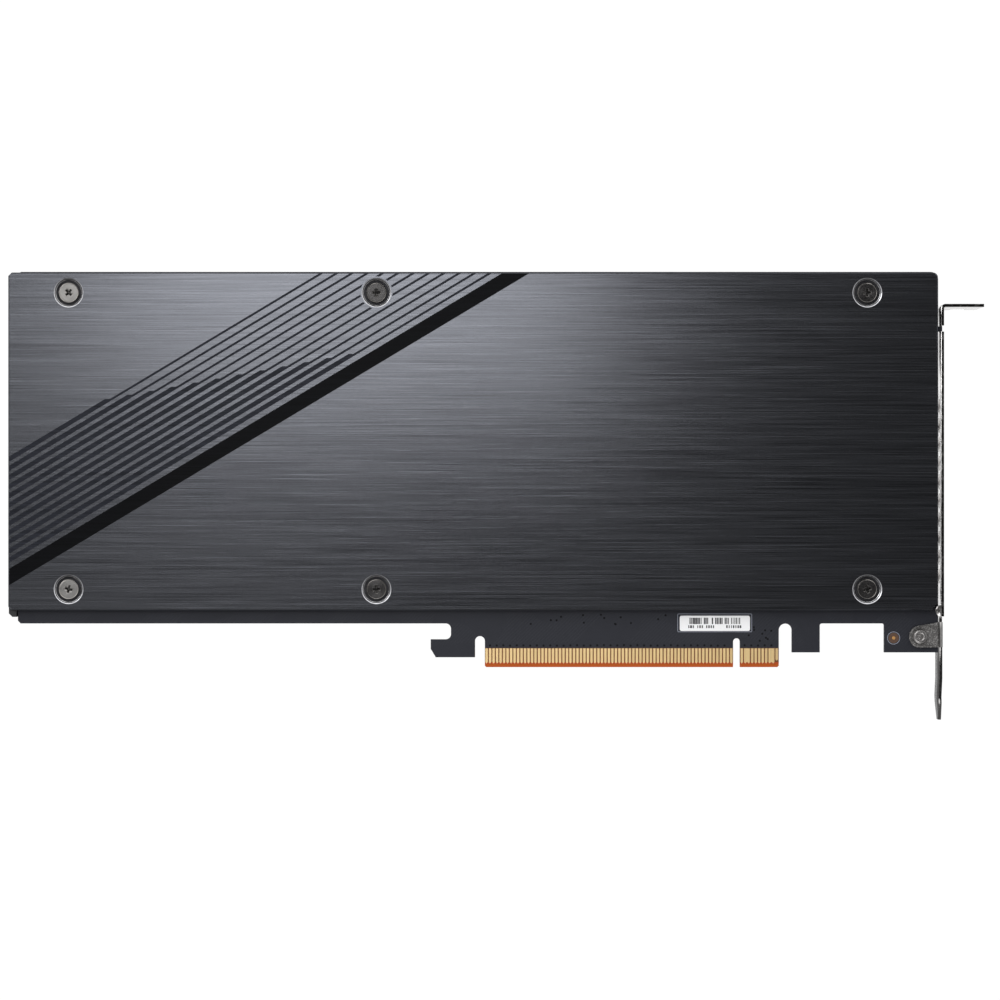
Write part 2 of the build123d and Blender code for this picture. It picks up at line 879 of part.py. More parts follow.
def fan_shaft():
    """The steel shaft, fixed in the hub and running in the bearing."""
    return disc(fan_x, fan_y, shaft_r, z_rotor + shaft_cap + press_gap, z_fan_floor - shaft_floor_gap)


def fan_bearing():
    """The sleeve bearing in the housing's tube."""
    top = tube_top() + bearing_sunk
    sleeve = disc(fan_x, fan_y, tube_r - tube_wall - press_gap, top, z_fan_floor - press_gap)
    return sleeve - disc(fan_x, fan_y, shaft_r + bearing_clear, top - past, z_fan_floor + past)


def core_middle():
    """Middle height of the stator, level with the magnet."""
    return z_rotor_open - rotor_gap / 2 - magnet_len / 2


def fan_stator():
    """The laminated core: a ring, its teeth and their curved pole faces."""
    core = Circle(core_back_r)
    pole_ring = Circle(core_pole_r) - Circle(core_pole_r - core_pole_t)
    half = pole_arc / 2
    far = 2 * core_pole_r
    wedge = shape((0, 0), (far * cos(radians(half)), far * sin(radians(half))),
                  (far * cos(radians(half)), -far * sin(radians(half))))
    pole = pole_ring & wedge
    tooth = rect(core_back_r / 2, core_pole_r - core_pole_t / 2, -core_tooth_w / 2, core_tooth_w / 2)
    for i in range(core_poles):
        turn = Rot(0, 0, i * 360 / core_poles)
        core += turn * tooth
        core += turn * pole
    core -= Circle(tube_r + press_gap)
    z = core_middle()
    return slab(Pos(fan_x, fan_y) * core, z - core_len / 2, z + core_len / 2)


def fan_windings():
    """One copper coil round each tooth."""
    z = core_middle()
    half_w = core_tooth_w / 2 + press_gap
    pole_in_r = core_pole_r - core_pole_t
    r0 = core_back_r + 3 * press_gap
    r1 = sqrt(pole_in_r ** 2 - (half_w + coil_build) ** 2) - 3 * press_gap
    half_h = core_len / 2 + press_gap
    coil = block(r0, r1, -half_w - coil_build, half_w + coil_build,
                 z - half_h - coil_build, z + half_h + coil_build)
    coil -= block(r0 - past, r1 + past, -half_w, half_w, z - half_h, z + half_h)
    return group([
        Pos(fan_x, fan_y) * Rot(0, 0, i * 360 / core_poles) * coil for i in range(core_poles)
    ])


def fan_board():
    """The small round circuit board on the blower's floor."""
    board = disc(fan_x, fan_y, core_pole_r, z_fan_floor - fan_board_t, z_fan_floor)
    return board - disc(fan_x, fan_y, tube_r + press_gap, z_fan_floor - past, z_fan_floor + past)


def fan_screws():
    """Screws through the blower's ears into the cover's bosses."""
    screws = []
    for x, y in fan_ear_places():
        head = disc(x, y, fan_screw_head_r, z_fan_base, z_fan_base + fan_screw_head_t)
        screws.append(head + disc(x, y, fan_screw_r, z_fan_floor - fan_screw_grip, z_fan_base))
    return group(screws)


def square_part(x, y, half, height):
    """A square part on the board's front."""
    return block(x - half, x + half, y - half, y + half, z_front - height, z_front)


def power_inductors():
    """Square power inductors in a row."""
    coils = []
    for i in range(inductor_count):
        body = square_part(parts_x, inductor_low + i * inductor_pitch, inductor_size / 2, inductor_t)
        coils.append(chamfer(body.faces().sort_by(Axis.Z)[0].edges(), inductor_edge))
    return group(coils)


def board_capacitors():
    """Can capacitors, each on a square foot."""
    cans = []
    x = board_left + capacitor_from_end
    for i in range(capacitor_count):
        y = capacitor_low + i * capacitor_pitch
        foot = square_part(x, y, capacitor_r + capacitor_foot_edge, capacitor_base_t)
        cans.append(foot + disc(x, y, capacitor_r, z_front - capacitor_len, z_front))
    return group(cans)


def board_chips():
    """Regulator chips beside the inductors."""
    rows = range(inductor_count, 2 * inductor_count - 1)
    places = [inductor_low + i * inductor_pitch for i in rows]
    return group([square_part(parts_x, y, regulator_size / 2, regulator_t) for y in places])


def fan_header():
    """The open socket for the blower's lead."""
    x = screw_cols[1]
    y = bay_mid
    body = block(x - header_wide / 2, x + header_wide / 2, y - header_long / 2, y + header_long / 2,
                 z_front - header_t, z_front)
    cavity = block(
        x - header_wide / 2 + header_wall, x + header_wide / 2 - header_wall,
        y - header_long / 2 + header_wall, y + header_long / 2 - header_wall,
        z_front - header_t - past, z_front - header_wall,
    )
    return body - cavity


def serial_label():
    """A plain paper label on the board's back."""
    return block(label_left, label_left + label_w, label_low, label_low + label_h,
                 z_back, z_back + label_t)


def ear_outline():
    """The ear: a round end, widening to the bend along a sloping upper side."""
    web = shape(
        (rivet_x, ear_low),
        (bracket_end, ear_low),
        (bracket_end, ear_high),
        (rivet_x, ear_hole_y + ear_r),
    )
    return web + Pos(rivet_x, ear_hole_y) * Circle(ear_r)


def bracket_ear():
    """The ear, bent square from the bracket's face onto the board's back."""
    z_ear = z_back + bracket_t
    profile = rect(rivet_x - 2 * ear_r, face_out, z_back, z_ear)
    profile += rect(face_in, face_out, z_back - bracket_gap - bracket_t, z_ear)
    outer = fillet(corner(profile, face_out, z_ear), bracket_gap + bracket_t)
    inner = fillet(corner(outer, face_in, z_back), bracket_gap)
    keep = ear_outline() + rect(bracket_end - bracket_gap, face_out + past, ear_low, ear_high)
    return along_y(inner, ear_low, ear_high) & slab(keep, z_far - past, z_near + past)


def vent_holes():
    """Hexagonal exhaust holes in staggered rows, drawn in (Y, Z)."""
    pitch = vent_across + vent_rib
    z_mid = (z_far + z_near) / 2
    room = slit_low - vent_top_gap - vent_low - (pitch + vent_across) / 2
    vent_count = int(room // pitch) + 1
    holes = []
    hexagon = RegularPolygon(vent_across / 2, 6, major_radius=False)
    for row in range(vent_rows):
        shift = (row % 2) * pitch / 2
        z = z_mid + (row - (vent_rows - 1) / 2) * pitch * cos(radians(30))
        for i in range(vent_count):
            holes.append(Pos(vent_low + i * pitch + shift, z) * Rot(0, 0, 30) * hexagon)
    return holes


def bracket_face():
    """The bracket's upright face, cut for the vents, the ear and the board's lug."""
    face = rect(tongue_start, flange_top, z_far, z_near)
    face -= rect(tongue_start - past, ear_high + ear_relief, z_near - relief_depth, z_near + past)
    face -= rect(slit_low, slit_high, z_near - relief_depth, z_near + past)
    z_mid = (z_far + z_near) / 2
    corner_cut = (bracket_w - tongue_w) / 2
    face -= shape(
        (tongue_start - past, z_far - past),
        (tongue_start + corner_cut, z_far - past),
        (tongue_start + corner_cut, z_far),
        (tongue_start, z_mid - tongue_w / 2),
        (tongue_start - past, z_mid - tongue_w / 2),
    )
    for hole in vent_holes():
        face -= hole
    return along_x(face, face_in, face_out)


def bracket_flange():
    """The top flange with its bend, screw notch and cut corner."""
    profile = rect(face_in, face_out + flange_reach, flange_top - bracket_t, flange_top)
    profile += rect(face_in, face_out, flange_top - 3 * bracket_t, flange_top)
    outer = fillet(corner(profile, face_in, flange_top), flange_bend + bracket_t)
    inner = fillet(corner(outer, face_out, flange_top - bracket_t), flange_bend)
    flange = slab(inner, z_far, z_near)
    x = face_out + flange_reach - notch_from_end
    notch = block(x - notch_w / 2, x + notch_w / 2, flange_top - past, flange_top + past,
                  z_far - past, z_far + notch_depth - notch_w / 2)
    z_round = z_far + notch_depth - notch_w / 2
    rounding = Pos(x, flange_top, z_round) * Rot(90, 0, 0) * Cylinder(notch_w / 2, 2 * past)
    tip = face_out + flange_reach
    cut = shape((tip, z_far), (tip - flange_corner, z_far), (tip, z_far + flange_corner))
    return flange - notch - rounding - along_y(cut, flange_top - past, flange_top + past)


def bracket_tongue():
    """The lower tongue: a joggle along its length and a tapered end."""
    x = face_in
    profile = shape(
        (x, tongue_start + past),
        (x, -joggle_start),
        (x - joggle, -joggle_end),
        (x, -tongue_end),
        (x + bracket_t, -tongue_end),
        (x + bracket_t - joggle, -joggle_end),
        (x + bracket_t, -joggle_start),
        (x + bracket_t, tongue_start + past),
    )
    z_mid = (z_far + z_near) / 2
    half = tongue_w / 2
    tip = tongue_tip_w / 2
    front = shape(
        (tongue_start + past, z_mid - half),
        (tongue_start + past, z_mid + half),
        (-tongue_end + tongue_taper, z_mid + half),
        (-tongue_end, z_mid + tip),
        (-tongue_end, z_mid - tip),
        (-tongue_end + tongue_taper, z_mid - half),
    )
    return slab(profile, z_far, z_near) & along_x(front, face_in - past, face_out + past)


def bracket():
    """The whole bracket, cut and folded from one sheet."""
    body = bracket_face()
    corner_room = block(face_in - past, face_out + past, flange_top - bracket_t - flange_bend,
                        flange_top + past, z_far - past, z_near + past)
    body = body - corner_room + bracket_flange() + bracket_tongue()
    body += bracket_ear()
    nub = Pos(face_in, nub_y) * Circle(nub_r) & rect(face_in - 2 * nub_r, face_out, 0, board_height)
    body += slab(nub, z_near - bracket_t, z_near)
    return body - disc(rivet_x, ear_hole_y, rivet_r + hole_gap, z_back, z_near)


def bracket_rivet():
    """The rivet of the ear, with a dished head on the card's back and a plain tail on its front."""
    z_head = z_back + bracket_t
    z_dish = z_head + rivet_head_t - rivet_dish_deep
    head = disc(rivet_x, ear_hole_y, rivet_head_r, z_head, z_head + rivet_head_t)
    head -= disc(rivet_x, ear_hole_y, rivet_dish_r, z_dish, z_head + past)
    tail = disc(rivet_x, ear_hole_y, rivet_tail_r, z_front - rivet_head_t, z_front)
    return head + disc(rivet_x, ear_hole_y, rivet_r, z_front, z_head) + tail


def nodes():
    """Every piece under its node's name."""
    pieces = {
        "circuit_board": circuit_board(),
        "rear_contacts": contacts(joined_pairs_rear, short_pins_rear, z_back, z_back + contact_t),
        "front_contacts": contacts((), short_pins_front, z_front - contact_t, z_front),
        "back_plate": back_plate(),
        "stripe_print": stripe_print(),
        "back_plate_screws": back_plate_screws(),
        "back_thermal_pads": back_thermal_pads(),
        "front_cover": front_cover(),
        "cover_screws": cover_screws(),
        "heatsink": heatsink(),
        "drive_thermal_pads": drive_thermal_pads(),
        "drive_standoffs": drive_standoffs(),
        "drive_screws": drive_screws(),
        "fan_housing": fan_housing(),
        "fan_top_plate": fan_top_plate(),
        "fan_impeller": fan_impeller(),
        "fan_magnet_ring": fan_magnet_ring(),
        "fan_shaft": fan_shaft(),
        "fan_bearing": fan_bearing(),
        "fan_stator": fan_stator(),
        "fan_windings": fan_windings(),
        "fan_board": fan_board(),
        "fan_screws": fan_screws(),
        "fan_header": fan_header(),
        "power_inductors": power_inductors(),
        "board_capacitors": board_capacitors(),
        "board_chips": board_chips(),
        "serial_label": serial_label(),
        "bracket": bracket(),
        "bracket_rivet": bracket_rivet(),
    }
    for i, y in enumerate(drive_rows, start=1):
        pieces[f"drive_board_{i}"] = drive_board(y)
        pieces[f"drive_controller_{i}"] = controller(y)
        pieces[f"drive_buffer_{i}"] = buffer_memory(y)
        pieces[f"drive_flash_{i}"] = drive_flash(y)
        pieces[f"drive_socket_{i}"] = drive_socket(y)
    return pieces


os.makedirs("parts", exist_ok=True)
for name, piece in nodes().items():
    export_step(piece, f"parts/{name}.step")
    print(name, len(piece.solids()), "solids")
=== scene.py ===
# %% [markdown]
# # A flash storage card for a server
# The real thing is a plug-in card as long as the case allows. Its back is a brushed dark plate held by
# six sunken screws, with a strip of circuit board and gilt contacts below it and a folded steel bracket
# at one end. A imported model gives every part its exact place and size. This lesson dresses that model:
# it adds finishes, small fittings, light and a camera.

# %% Load the frame
import bmesh
import bpy
import math
import random
from mathutils import Matrix, Vector


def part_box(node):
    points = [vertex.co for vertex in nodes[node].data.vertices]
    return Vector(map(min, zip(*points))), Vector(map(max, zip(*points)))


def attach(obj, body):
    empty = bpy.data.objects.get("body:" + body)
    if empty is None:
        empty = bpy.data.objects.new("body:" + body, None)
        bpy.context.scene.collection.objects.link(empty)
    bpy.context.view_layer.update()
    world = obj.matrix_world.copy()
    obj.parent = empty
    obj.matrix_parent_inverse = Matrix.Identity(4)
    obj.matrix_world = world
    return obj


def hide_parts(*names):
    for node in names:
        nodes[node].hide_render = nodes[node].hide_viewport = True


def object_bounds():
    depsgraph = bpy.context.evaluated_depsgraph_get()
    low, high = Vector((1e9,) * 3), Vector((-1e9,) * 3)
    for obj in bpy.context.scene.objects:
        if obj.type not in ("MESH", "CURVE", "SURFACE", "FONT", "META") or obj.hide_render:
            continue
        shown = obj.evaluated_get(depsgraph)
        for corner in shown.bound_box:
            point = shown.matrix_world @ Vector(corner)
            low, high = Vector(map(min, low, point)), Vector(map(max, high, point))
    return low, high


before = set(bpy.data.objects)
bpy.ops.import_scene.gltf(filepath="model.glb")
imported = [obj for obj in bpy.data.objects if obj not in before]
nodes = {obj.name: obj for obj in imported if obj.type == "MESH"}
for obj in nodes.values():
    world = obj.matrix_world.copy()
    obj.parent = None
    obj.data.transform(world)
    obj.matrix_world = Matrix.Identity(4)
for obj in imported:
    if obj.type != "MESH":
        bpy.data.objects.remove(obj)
cad_low, cad_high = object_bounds()
mm = 0.001
print("Loaded", len(nodes), "nodes; the card is",
      [round((b - a) / mm, 1) for a, b in zip(cad_low, cad_high)], "mm")

# %% [markdown]
# ## Where things are
# A fitting has to sit exactly on the part that carries it. Typing its place in would work until the model
# changes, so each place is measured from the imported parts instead, and only true sizes are typed.

# %% Measure the parts that carry the fittings
HEAD_R = 2.9 * mm
SCREW_TOP = 1.2
LEG_R = 3.7 * mm
RIVET_TAIL_R = 2.3 * mm
COVER_HEAD_R = 2.8 * mm

board_low, board_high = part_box("circuit_board")
plate_low, plate_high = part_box("back_plate")
pads_low, pads_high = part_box("rear_contacts")
screws_low, screws_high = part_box("back_plate_screws")
sink_low, sink_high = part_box("heatsink")
rivet_low, rivet_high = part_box("bracket_rivet")
bracket_low, bracket_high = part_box("bracket")
cover_low, cover_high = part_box("front_cover")
label_low, label_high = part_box("serial_label")
cover_screws_low, cover_screws_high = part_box("cover_screws")

screw_columns = (screws_low.x + HEAD_R, sink_low.x + LEG_R, screws_high.x - HEAD_R)
screw_rows = (screws_low.y + HEAD_R, screws_high.y - HEAD_R)
screw_top = screws_high.z
board_back = pads_low.z
board_front = -board_back
print("Screw columns", [round(x / mm, 2) for x in screw_columns],
      "rows", [round(y / mm, 2) for y in screw_rows])

# %% [markdown]
# ## A helper for shader trees
# A material is a small machine of nodes. Each one here is built by the same helper, which adds a node,
# sets its options, and either fills an input with a value or joins it to another node's output.

# %% Node helpers
def add_node(tree, kind, options=None, inputs=None):
    """Adds a node, sets its options, and fills or joins its inputs."""
    node = tree.nodes.new(kind)
    for name, value in (options or {}).items():
        setattr(node, name, value)
    for key, value in (inputs or {}).items():
        if isinstance(value, bpy.types.NodeSocket):
            tree.links.new(value, node.inputs[key])
        else:
            node.inputs[key].default_value = value
    return node


def calculate(tree, operation, a, b=0.0, c=0.0):
    """One step of arithmetic on two or three values."""
    return add_node(tree, "ShaderNodeMath", {"operation": operation}, {0: a, 1: b, 2: c}).outputs[0]


def new_group(name, kind, inputs, outputs):
    """An empty node group with its named inputs and outputs."""
    tree = bpy.data.node_groups.new(name, kind)
    for label, socket_type, value in inputs:
        socket = tree.interface.new_socket(name=label, in_out="INPUT", socket_type=socket_type)
        if value is not None:
            socket.default_value = value
    for label, socket_type in outputs:
        tree.interface.new_socket(name=label, in_out="OUTPUT", socket_type=socket_type)
    return tree, tree.nodes.new("NodeGroupInput"), tree.nodes.new("NodeGroupOutput")


def new_material(name, metallic=0.0, roughness=0.5, **constants):
    """A material with one Principled shader. Plain numbers go on the shader's own sockets."""
    material = bpy.data.materials.new(name)
    material.use_nodes = True
    tree = material.node_tree
    shader = tree.nodes["Principled BSDF"]
    shader.inputs["Metallic"].default_value = metallic
    shader.inputs["Roughness"].default_value = roughness
    for label, value in constants.items():
        shader.inputs[label.replace("_", " ")].default_value = value
    return material, tree, shader

# %% [markdown]
# ## One group for brushed and rolled metal
# A brushed plate is scratched all in one direction. From afar the scratches read as streaks, long one way
# and hair-fine the other, and each one tilts the surface a little, so a highlight spreads across them.
# Noise on coordinates that are squeezed one way and stretched the other gives both effects. The plate,
# the bracket, the heatsink and the contacts all use this one group with their own values.

# %% The brushed finish
def build_brushed_group():
    """Streaks along one direction: they vary the colour and the roughness, and tilt the normal."""
    tree, given, result = new_group(
        "Brushed finish", "ShaderNodeTree",
        [
            ("Colour", "NodeSocketColor", (0.5, 0.5, 0.5, 1)),
            ("Frequency", "NodeSocketVector", (30, 2500, 2500)),
            ("Streaks", "NodeSocketFloat", 0.2),
            ("Roughness", "NodeSocketFloat", 0.3),
            ("Spread", "NodeSocketFloat", 0.1),
            ("Relief", "NodeSocketFloat", 0.2),
        ],
        [("Colour", "NodeSocketColor"), ("Roughness", "NodeSocketFloat"), ("Normal", "NodeSocketVector")],
    )
    place = add_node(tree, "ShaderNodeTexCoord").outputs["Object"]
    stretched = add_node(tree, "ShaderNodeVectorMath", {"operation": "MULTIPLY"},
                         {0: place, 1: given.outputs["Frequency"]}).outputs[0]
    fine = add_node(tree, "ShaderNodeTexNoise", None,
                    {"Vector": stretched, "Scale": 1.0, "Detail": 2.0, "Roughness": 0.7})
    broad = add_node(tree, "ShaderNodeTexNoise", None,
                     {"Vector": stretched, "Scale": 0.37, "Detail": 1.0, "Roughness": 0.5})
    mixed = calculate(tree, "MULTIPLY_ADD", broad.outputs["Fac"], 0.08,
                      calculate(tree, "MULTIPLY", fine.outputs["Fac"], 0.92))
    offset = calculate(tree, "SUBTRACT", mixed, 0.5)
    gain = calculate(tree, "MULTIPLY_ADD", offset, calculate(tree, "MULTIPLY", given.outputs["Streaks"], 6.0), 1.0)
    tinted = add_node(tree, "ShaderNodeVectorMath", {"operation": "SCALE"},
                      {0: given.outputs["Colour"], "Scale": gain})
    rough = calculate(tree, "MULTIPLY_ADD", offset, given.outputs["Spread"], given.outputs["Roughness"])
    bump = add_node(tree, "ShaderNodeBump", None,
                    {"Strength": given.outputs["Relief"], "Distance": 0.00002, "Height": mixed})
    tree.links.new(tinted.outputs[0], result.inputs["Colour"])
    tree.links.new(rough, result.inputs["Roughness"])
    tree.links.new(bump.outputs[0], result.inputs["Normal"])
    return tree


brushed_group = build_brushed_group()
print("Built the group", brushed_group.name)

# %% [markdown]
# ## One group for moulded and coated surfaces
# Moulded plastic, solder mask, epoxy and paper are never perfectly even. Each has a fine grain that
# roughens its shine, and a broad faint mottle in its colour. The same two noises at different sizes
# describe all of them, so they share one group too.

# %% The grained finish
def build_grained_group():
    """A fine grain in the relief and shine, and a broad mottle in the colour."""
    tree, given, result = new_group(
        "Grained finish", "ShaderNodeTree",
        [
            ("Colour", "NodeSocketColor", (0.5, 0.5, 0.5, 1)),
            ("Grain size", "NodeSocketFloat", 0.0004),
            ("Mottle", "NodeSocketFloat", 0.1),
            ("Roughness", "NodeSocketFloat", 0.5),
            ("Relief", "NodeSocketFloat", 0.2),
        ],
        [("Colour", "NodeSocketColor"), ("Roughness", "NodeSocketFloat"), ("Normal", "NodeSocketVector")],
    )
    place = add_node(tree, "ShaderNodeTexCoord").outputs["Object"]
    per_metre = calculate(tree, "DIVIDE", 1.0, given.outputs["Grain size"])
    grain = add_node(tree, "ShaderNodeTexNoise", None,
                     {"Vector": place, "Scale": per_metre, "Detail": 2.0, "Roughness": 0.6})
    mottle = add_node(tree, "ShaderNodeTexNoise", None,
                      {"Vector": place, "Scale": 90.0, "Detail": 3.0, "Roughness": 0.55})
    shade = calculate(tree, "ADD", mottle.outputs["Fac"], calculate(tree, "MULTIPLY", grain.outputs["Fac"], 0.5))
    gain = calculate(tree, "MULTIPLY_ADD", calculate(tree, "SUBTRACT", shade, 0.75),
                     calculate(tree, "MULTIPLY", given.outputs["Mottle"], 3.0), 1.0)
    tinted = add_node(tree, "ShaderNodeVectorMath", {"operation": "SCALE"},
                      {0: given.outputs["Colour"], "Scale": gain})
    rough = calculate(tree, "MULTIPLY_ADD", calculate(tree, "SUBTRACT", grain.outputs["Fac"], 0.5), 0.25,
                      given.outputs["Roughness"])
    bump = add_node(tree, "ShaderNodeBump", None,
                    {"Strength": given.outputs["Relief"], "Distance": 0.00003, "Height": grain.outputs["Fac"]})
    tree.links.new(tinted.outputs[0], result.inputs["Colour"])
    tree.links.new(rough, result.inputs["Roughness"])
    tree.links.new(bump.outputs[0], result.inputs["Normal"])
    return tree


grained_group = build_grained_group()
print("Built the group", grained_group.name)

# %% [markdown]
# ## Finishes made from the two groups
# Most parts need nothing more than one of the groups with its own colour and values, so two short
# functions make those materials. The colours are linear values, as light mixes them, and darker than
# they look on a screen.

# %% Material makers
def colour(r, g, b):
    """A colour with its alpha."""
    return (r, g, b, 1.0)


def join_finish(tree, shader, finish):
    """Joins a finish group's outputs to the shader."""
    tree.links.new(finish.outputs["Colour"], shader.inputs["Base Color"])
    tree.links.new(finish.outputs["Roughness"], shader.inputs["Roughness"])
    tree.links.new(finish.outputs["Normal"], shader.inputs["Normal"])


def place_group(tree, group, inputs):
    """Places a group in a material with its own values."""
    return add_node(tree, "ShaderNodeGroup", {"node_tree": group}, inputs)


def brushed(name, tint, frequency=(30, 2500, 2500), streaks=0.2, roughness=0.3, spread=0.1, relief=0.2,
            metallic=1.0, **constants):
    """A metal that is brushed, rolled or drawn in one direction."""
    material, tree, shader = new_material(name, metallic, roughness, **constants)
    finish = place_group(tree, brushed_group, {
        "Colour": tint, "Frequency": frequency, "Streaks": streaks,
        "Roughness": roughness, "Spread": spread, "Relief": relief,
    })
    join_finish(tree, shader, finish)
    return material


def grained(name, tint, grain=0.0004, mottle=0.1, roughness=0.5, relief=0.2, metallic=0.0, **constants):
    """A moulded, coated or sintered surface."""
    material, tree, shader = new_material(name, metallic, roughness, **constants)
    finish = place_group(tree, grained_group, {
        "Colour": tint, "Grain size": grain, "Mottle": mottle, "Roughness": roughness, "Relief": relief,
    })
    join_finish(tree, shader, finish)
    return material


def dress(material, *names):
    """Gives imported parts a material."""
    for name in names:
        nodes[name].data.materials.clear()
        nodes[name].data.materials.append(material)
    print(material.name, "on", len(names), "parts")

# %% [markdown]
# ## The back plate
# The plate is dark anodised aluminium, brushed along its length. In its screw pockets the colour carries
# painted light: a bright band under each rim and a bright line at each pocket's foot are painted highlights,
# and the rest of each pocket is matt and painted nearly black as shade. The plate's chamfered outer edges are
# painted darker as shade too. All of these are on one part, and masks tell them apart: a point is in a pocket
# if it lies below the plate's face and well inside its outline, and its depth says how far down it is.

# %% Masks from coordinates
def inside_range(tree, value, low, high):
    """1 where a value lies between two limits, else 0."""
    above = calculate(tree, "GREATER_THAN", value, low)
    return calculate(tree, "MULTIPLY", above, calculate(tree, "LESS_THAN", value, high))


def blend_colours(tree, mask, first, second):
    """The first colour where the mask is 0, and the second where it is 1."""
    mix = add_node(tree, "ShaderNodeMix", {"data_type": "RGBA"}, {0: mask, 6: first, 7: second})
    return mix.outputs[2]


def coordinates(tree):
    """The X, Y and Z of the point being shaded, in metres."""
    place = add_node(tree, "ShaderNodeTexCoord").outputs["Object"]
    split = add_node(tree, "ShaderNodeSeparateXYZ", None, {0: place})
    return split.outputs[0], split.outputs[1], split.outputs[2]

# %% Dark brushed plate with bright pocket rims
POCKET_MOUTH = 0.5 * mm


def inside_plate(tree, x, y, margin):
    """1 well inside the plate's outline, else 0."""
    along = inside_range(tree, x, plate_low.x + margin, plate_high.x - margin)
    return calculate(tree, "MULTIPLY", along, inside_range(tree, y, plate_low.y + margin, plate_high.y - margin))


def plate_material():
    """Anodised and brushed, with painted highlights on the pocket rims and painted shade in the pockets and on the
    outer edges.
    """
    material, tree, shader = new_material("Brushed dark anodising", metallic=1.0, roughness=0.24,
                                          Specular_Tint=colour(0.62, 0.64, 0.69))
    x, y, z = coordinates(tree)
    inside = inside_plate(tree, x, y, 1.0 * mm)
    # Painted shade: below the plate's face, inside the outline, the pocket is painted nearly black.
    pocket = calculate(tree, "MULTIPLY", inside, calculate(tree, "LESS_THAN", z, plate_high.z - 0.02 * mm))
    # Painted highlight: a bright band just under each pocket's rim.
    rim = calculate(tree, "MULTIPLY", inside, inside_range(tree, z, plate_high.z - 0.21 * mm, plate_high.z - 0.02 * mm))
    # Painted highlight: a bright line at each pocket's foot.
    foot = plate_high.z - POCKET_MOUTH
    step = calculate(tree, "MULTIPLY", inside, inside_range(tree, z, foot - 0.03 * mm, foot + 0.08 * mm))
    # Painted shade: outside this margin the plate's chamfered edges are painted darker.
    face = inside_plate(tree, x, y, 0.35 * mm)
    tint = blend_colours(tree, face, colour(0.05, 0.052, 0.058), colour(0.105, 0.109, 0.122))
    tint = blend_colours(tree, pocket, tint, colour(0.08, 0.08, 0.087))
    tint = blend_colours(tree, step, tint, colour(0.6, 0.6, 0.61))
    tint = blend_colours(tree, rim, tint, colour(0.52, 0.52, 0.54))
    matt = calculate(tree, "SUBTRACT", calculate(tree, "SUBTRACT", pocket, rim), step)
    finish = place_group(tree, brushed_group, {
        "Colour": tint, "Frequency": (30, 8000, 8000), "Streaks": 0.42,
        "Roughness": calculate(tree, "MULTIPLY_ADD", matt, 0.45, 0.24), "Spread": 0.2, "Relief": 0.28,
    })
    join_finish(tree, shader, finish)
    return material


dress(plate_material(), "back_plate")

# %% [markdown]
# ## The printed stripes
# The band and the stripes are a thin matt print on the brushed metal. Ink doesn't mirror the softbox as
# the metal does, so the stripes stay dark where the plate is bright. The band is nearly black. They are one
# part in the model, so the slope of the band gives the mask: a point on its side of a slanted line belongs
# to it.

# %% Print on the plate
STRIPE_ANGLE = math.radians(30.95)
BAND_WIDTH = 4.03 * mm
BAND_RUN = 116.3 * mm


def stripe_material():
    """Black ink on the band, and dark grey ink on the stripes."""
    material, tree, shader = new_material("Matt print", roughness=0.45, Specular_IOR_Level=0.06)
    x, y, z = coordinates(tree)
    along = Vector((-math.sin(STRIPE_ANGLE), math.cos(STRIPE_ANGLE), 0))
    corner = Vector((plate_high.x - BAND_RUN, plate_high.y, 0))
    across = calculate(tree, "ADD", calculate(tree, "MULTIPLY", x, along.x), calculate(tree, "MULTIPLY", y, along.y))
    band = calculate(tree, "LESS_THAN", across, corner.dot(along) + BAND_WIDTH + 0.1 * mm)
    tint = blend_colours(tree, band, colour(0.020, 0.0215, 0.028), colour(0.003, 0.0032, 0.004))
    finish = place_group(tree, brushed_group, {
        "Colour": tint, "Frequency": (30, 5000, 5000), "Streaks": 0.5,
        "Roughness": 0.45, "Spread": 0.1, "Relief": 0.15,
    })
    join_finish(tree, shader, finish)
    return material


dress(stripe_material(), "stripe_print")

# %% [markdown]
# ## The circuit board
# The board is glass-epoxy under a dark solder mask. Round the contacts the mask is left off, and the bare
# laminate shows: brown between the contacts, and a clear orange along the bevel that is cut last. The
# masks are read from the height above the card's lower edge. Copper tracks under the mask stand up by a
# hair's breadth. They run aslant in bundles, which a wave across them and a patchy noise give together.

# %% Solder mask and bare laminate
TRACK_PITCH = 0.75 * mm


def track_mask(tree, x, y):
    """1 on slanted copper tracks above the contacts, in patches, and 0 elsewhere."""
    aslant = calculate(tree, "MULTIPLY", calculate(tree, "SUBTRACT", x, y), math.sqrt(0.5))
    wave = calculate(tree, "SINE", calculate(tree, "MULTIPLY", aslant, 2 * math.pi / TRACK_PITCH))
    line = calculate(tree, "GREATER_THAN", wave, 0.55)
    patch = add_node(tree, "ShaderNodeTexNoise", None, {"Scale": 75.0, "Detail": 0.0,
                     "Vector": add_node(tree, "ShaderNodeTexCoord").outputs["Object"]})
    patchy = calculate(tree, "GREATER_THAN", patch.outputs["Fac"], 0.5)
    above = calculate(tree, "GREATER_THAN", y, pads_high.y + 1.4 * mm)
    return calculate(tree, "MULTIPLY", line, calculate(tree, "MULTIPLY", patchy, above))


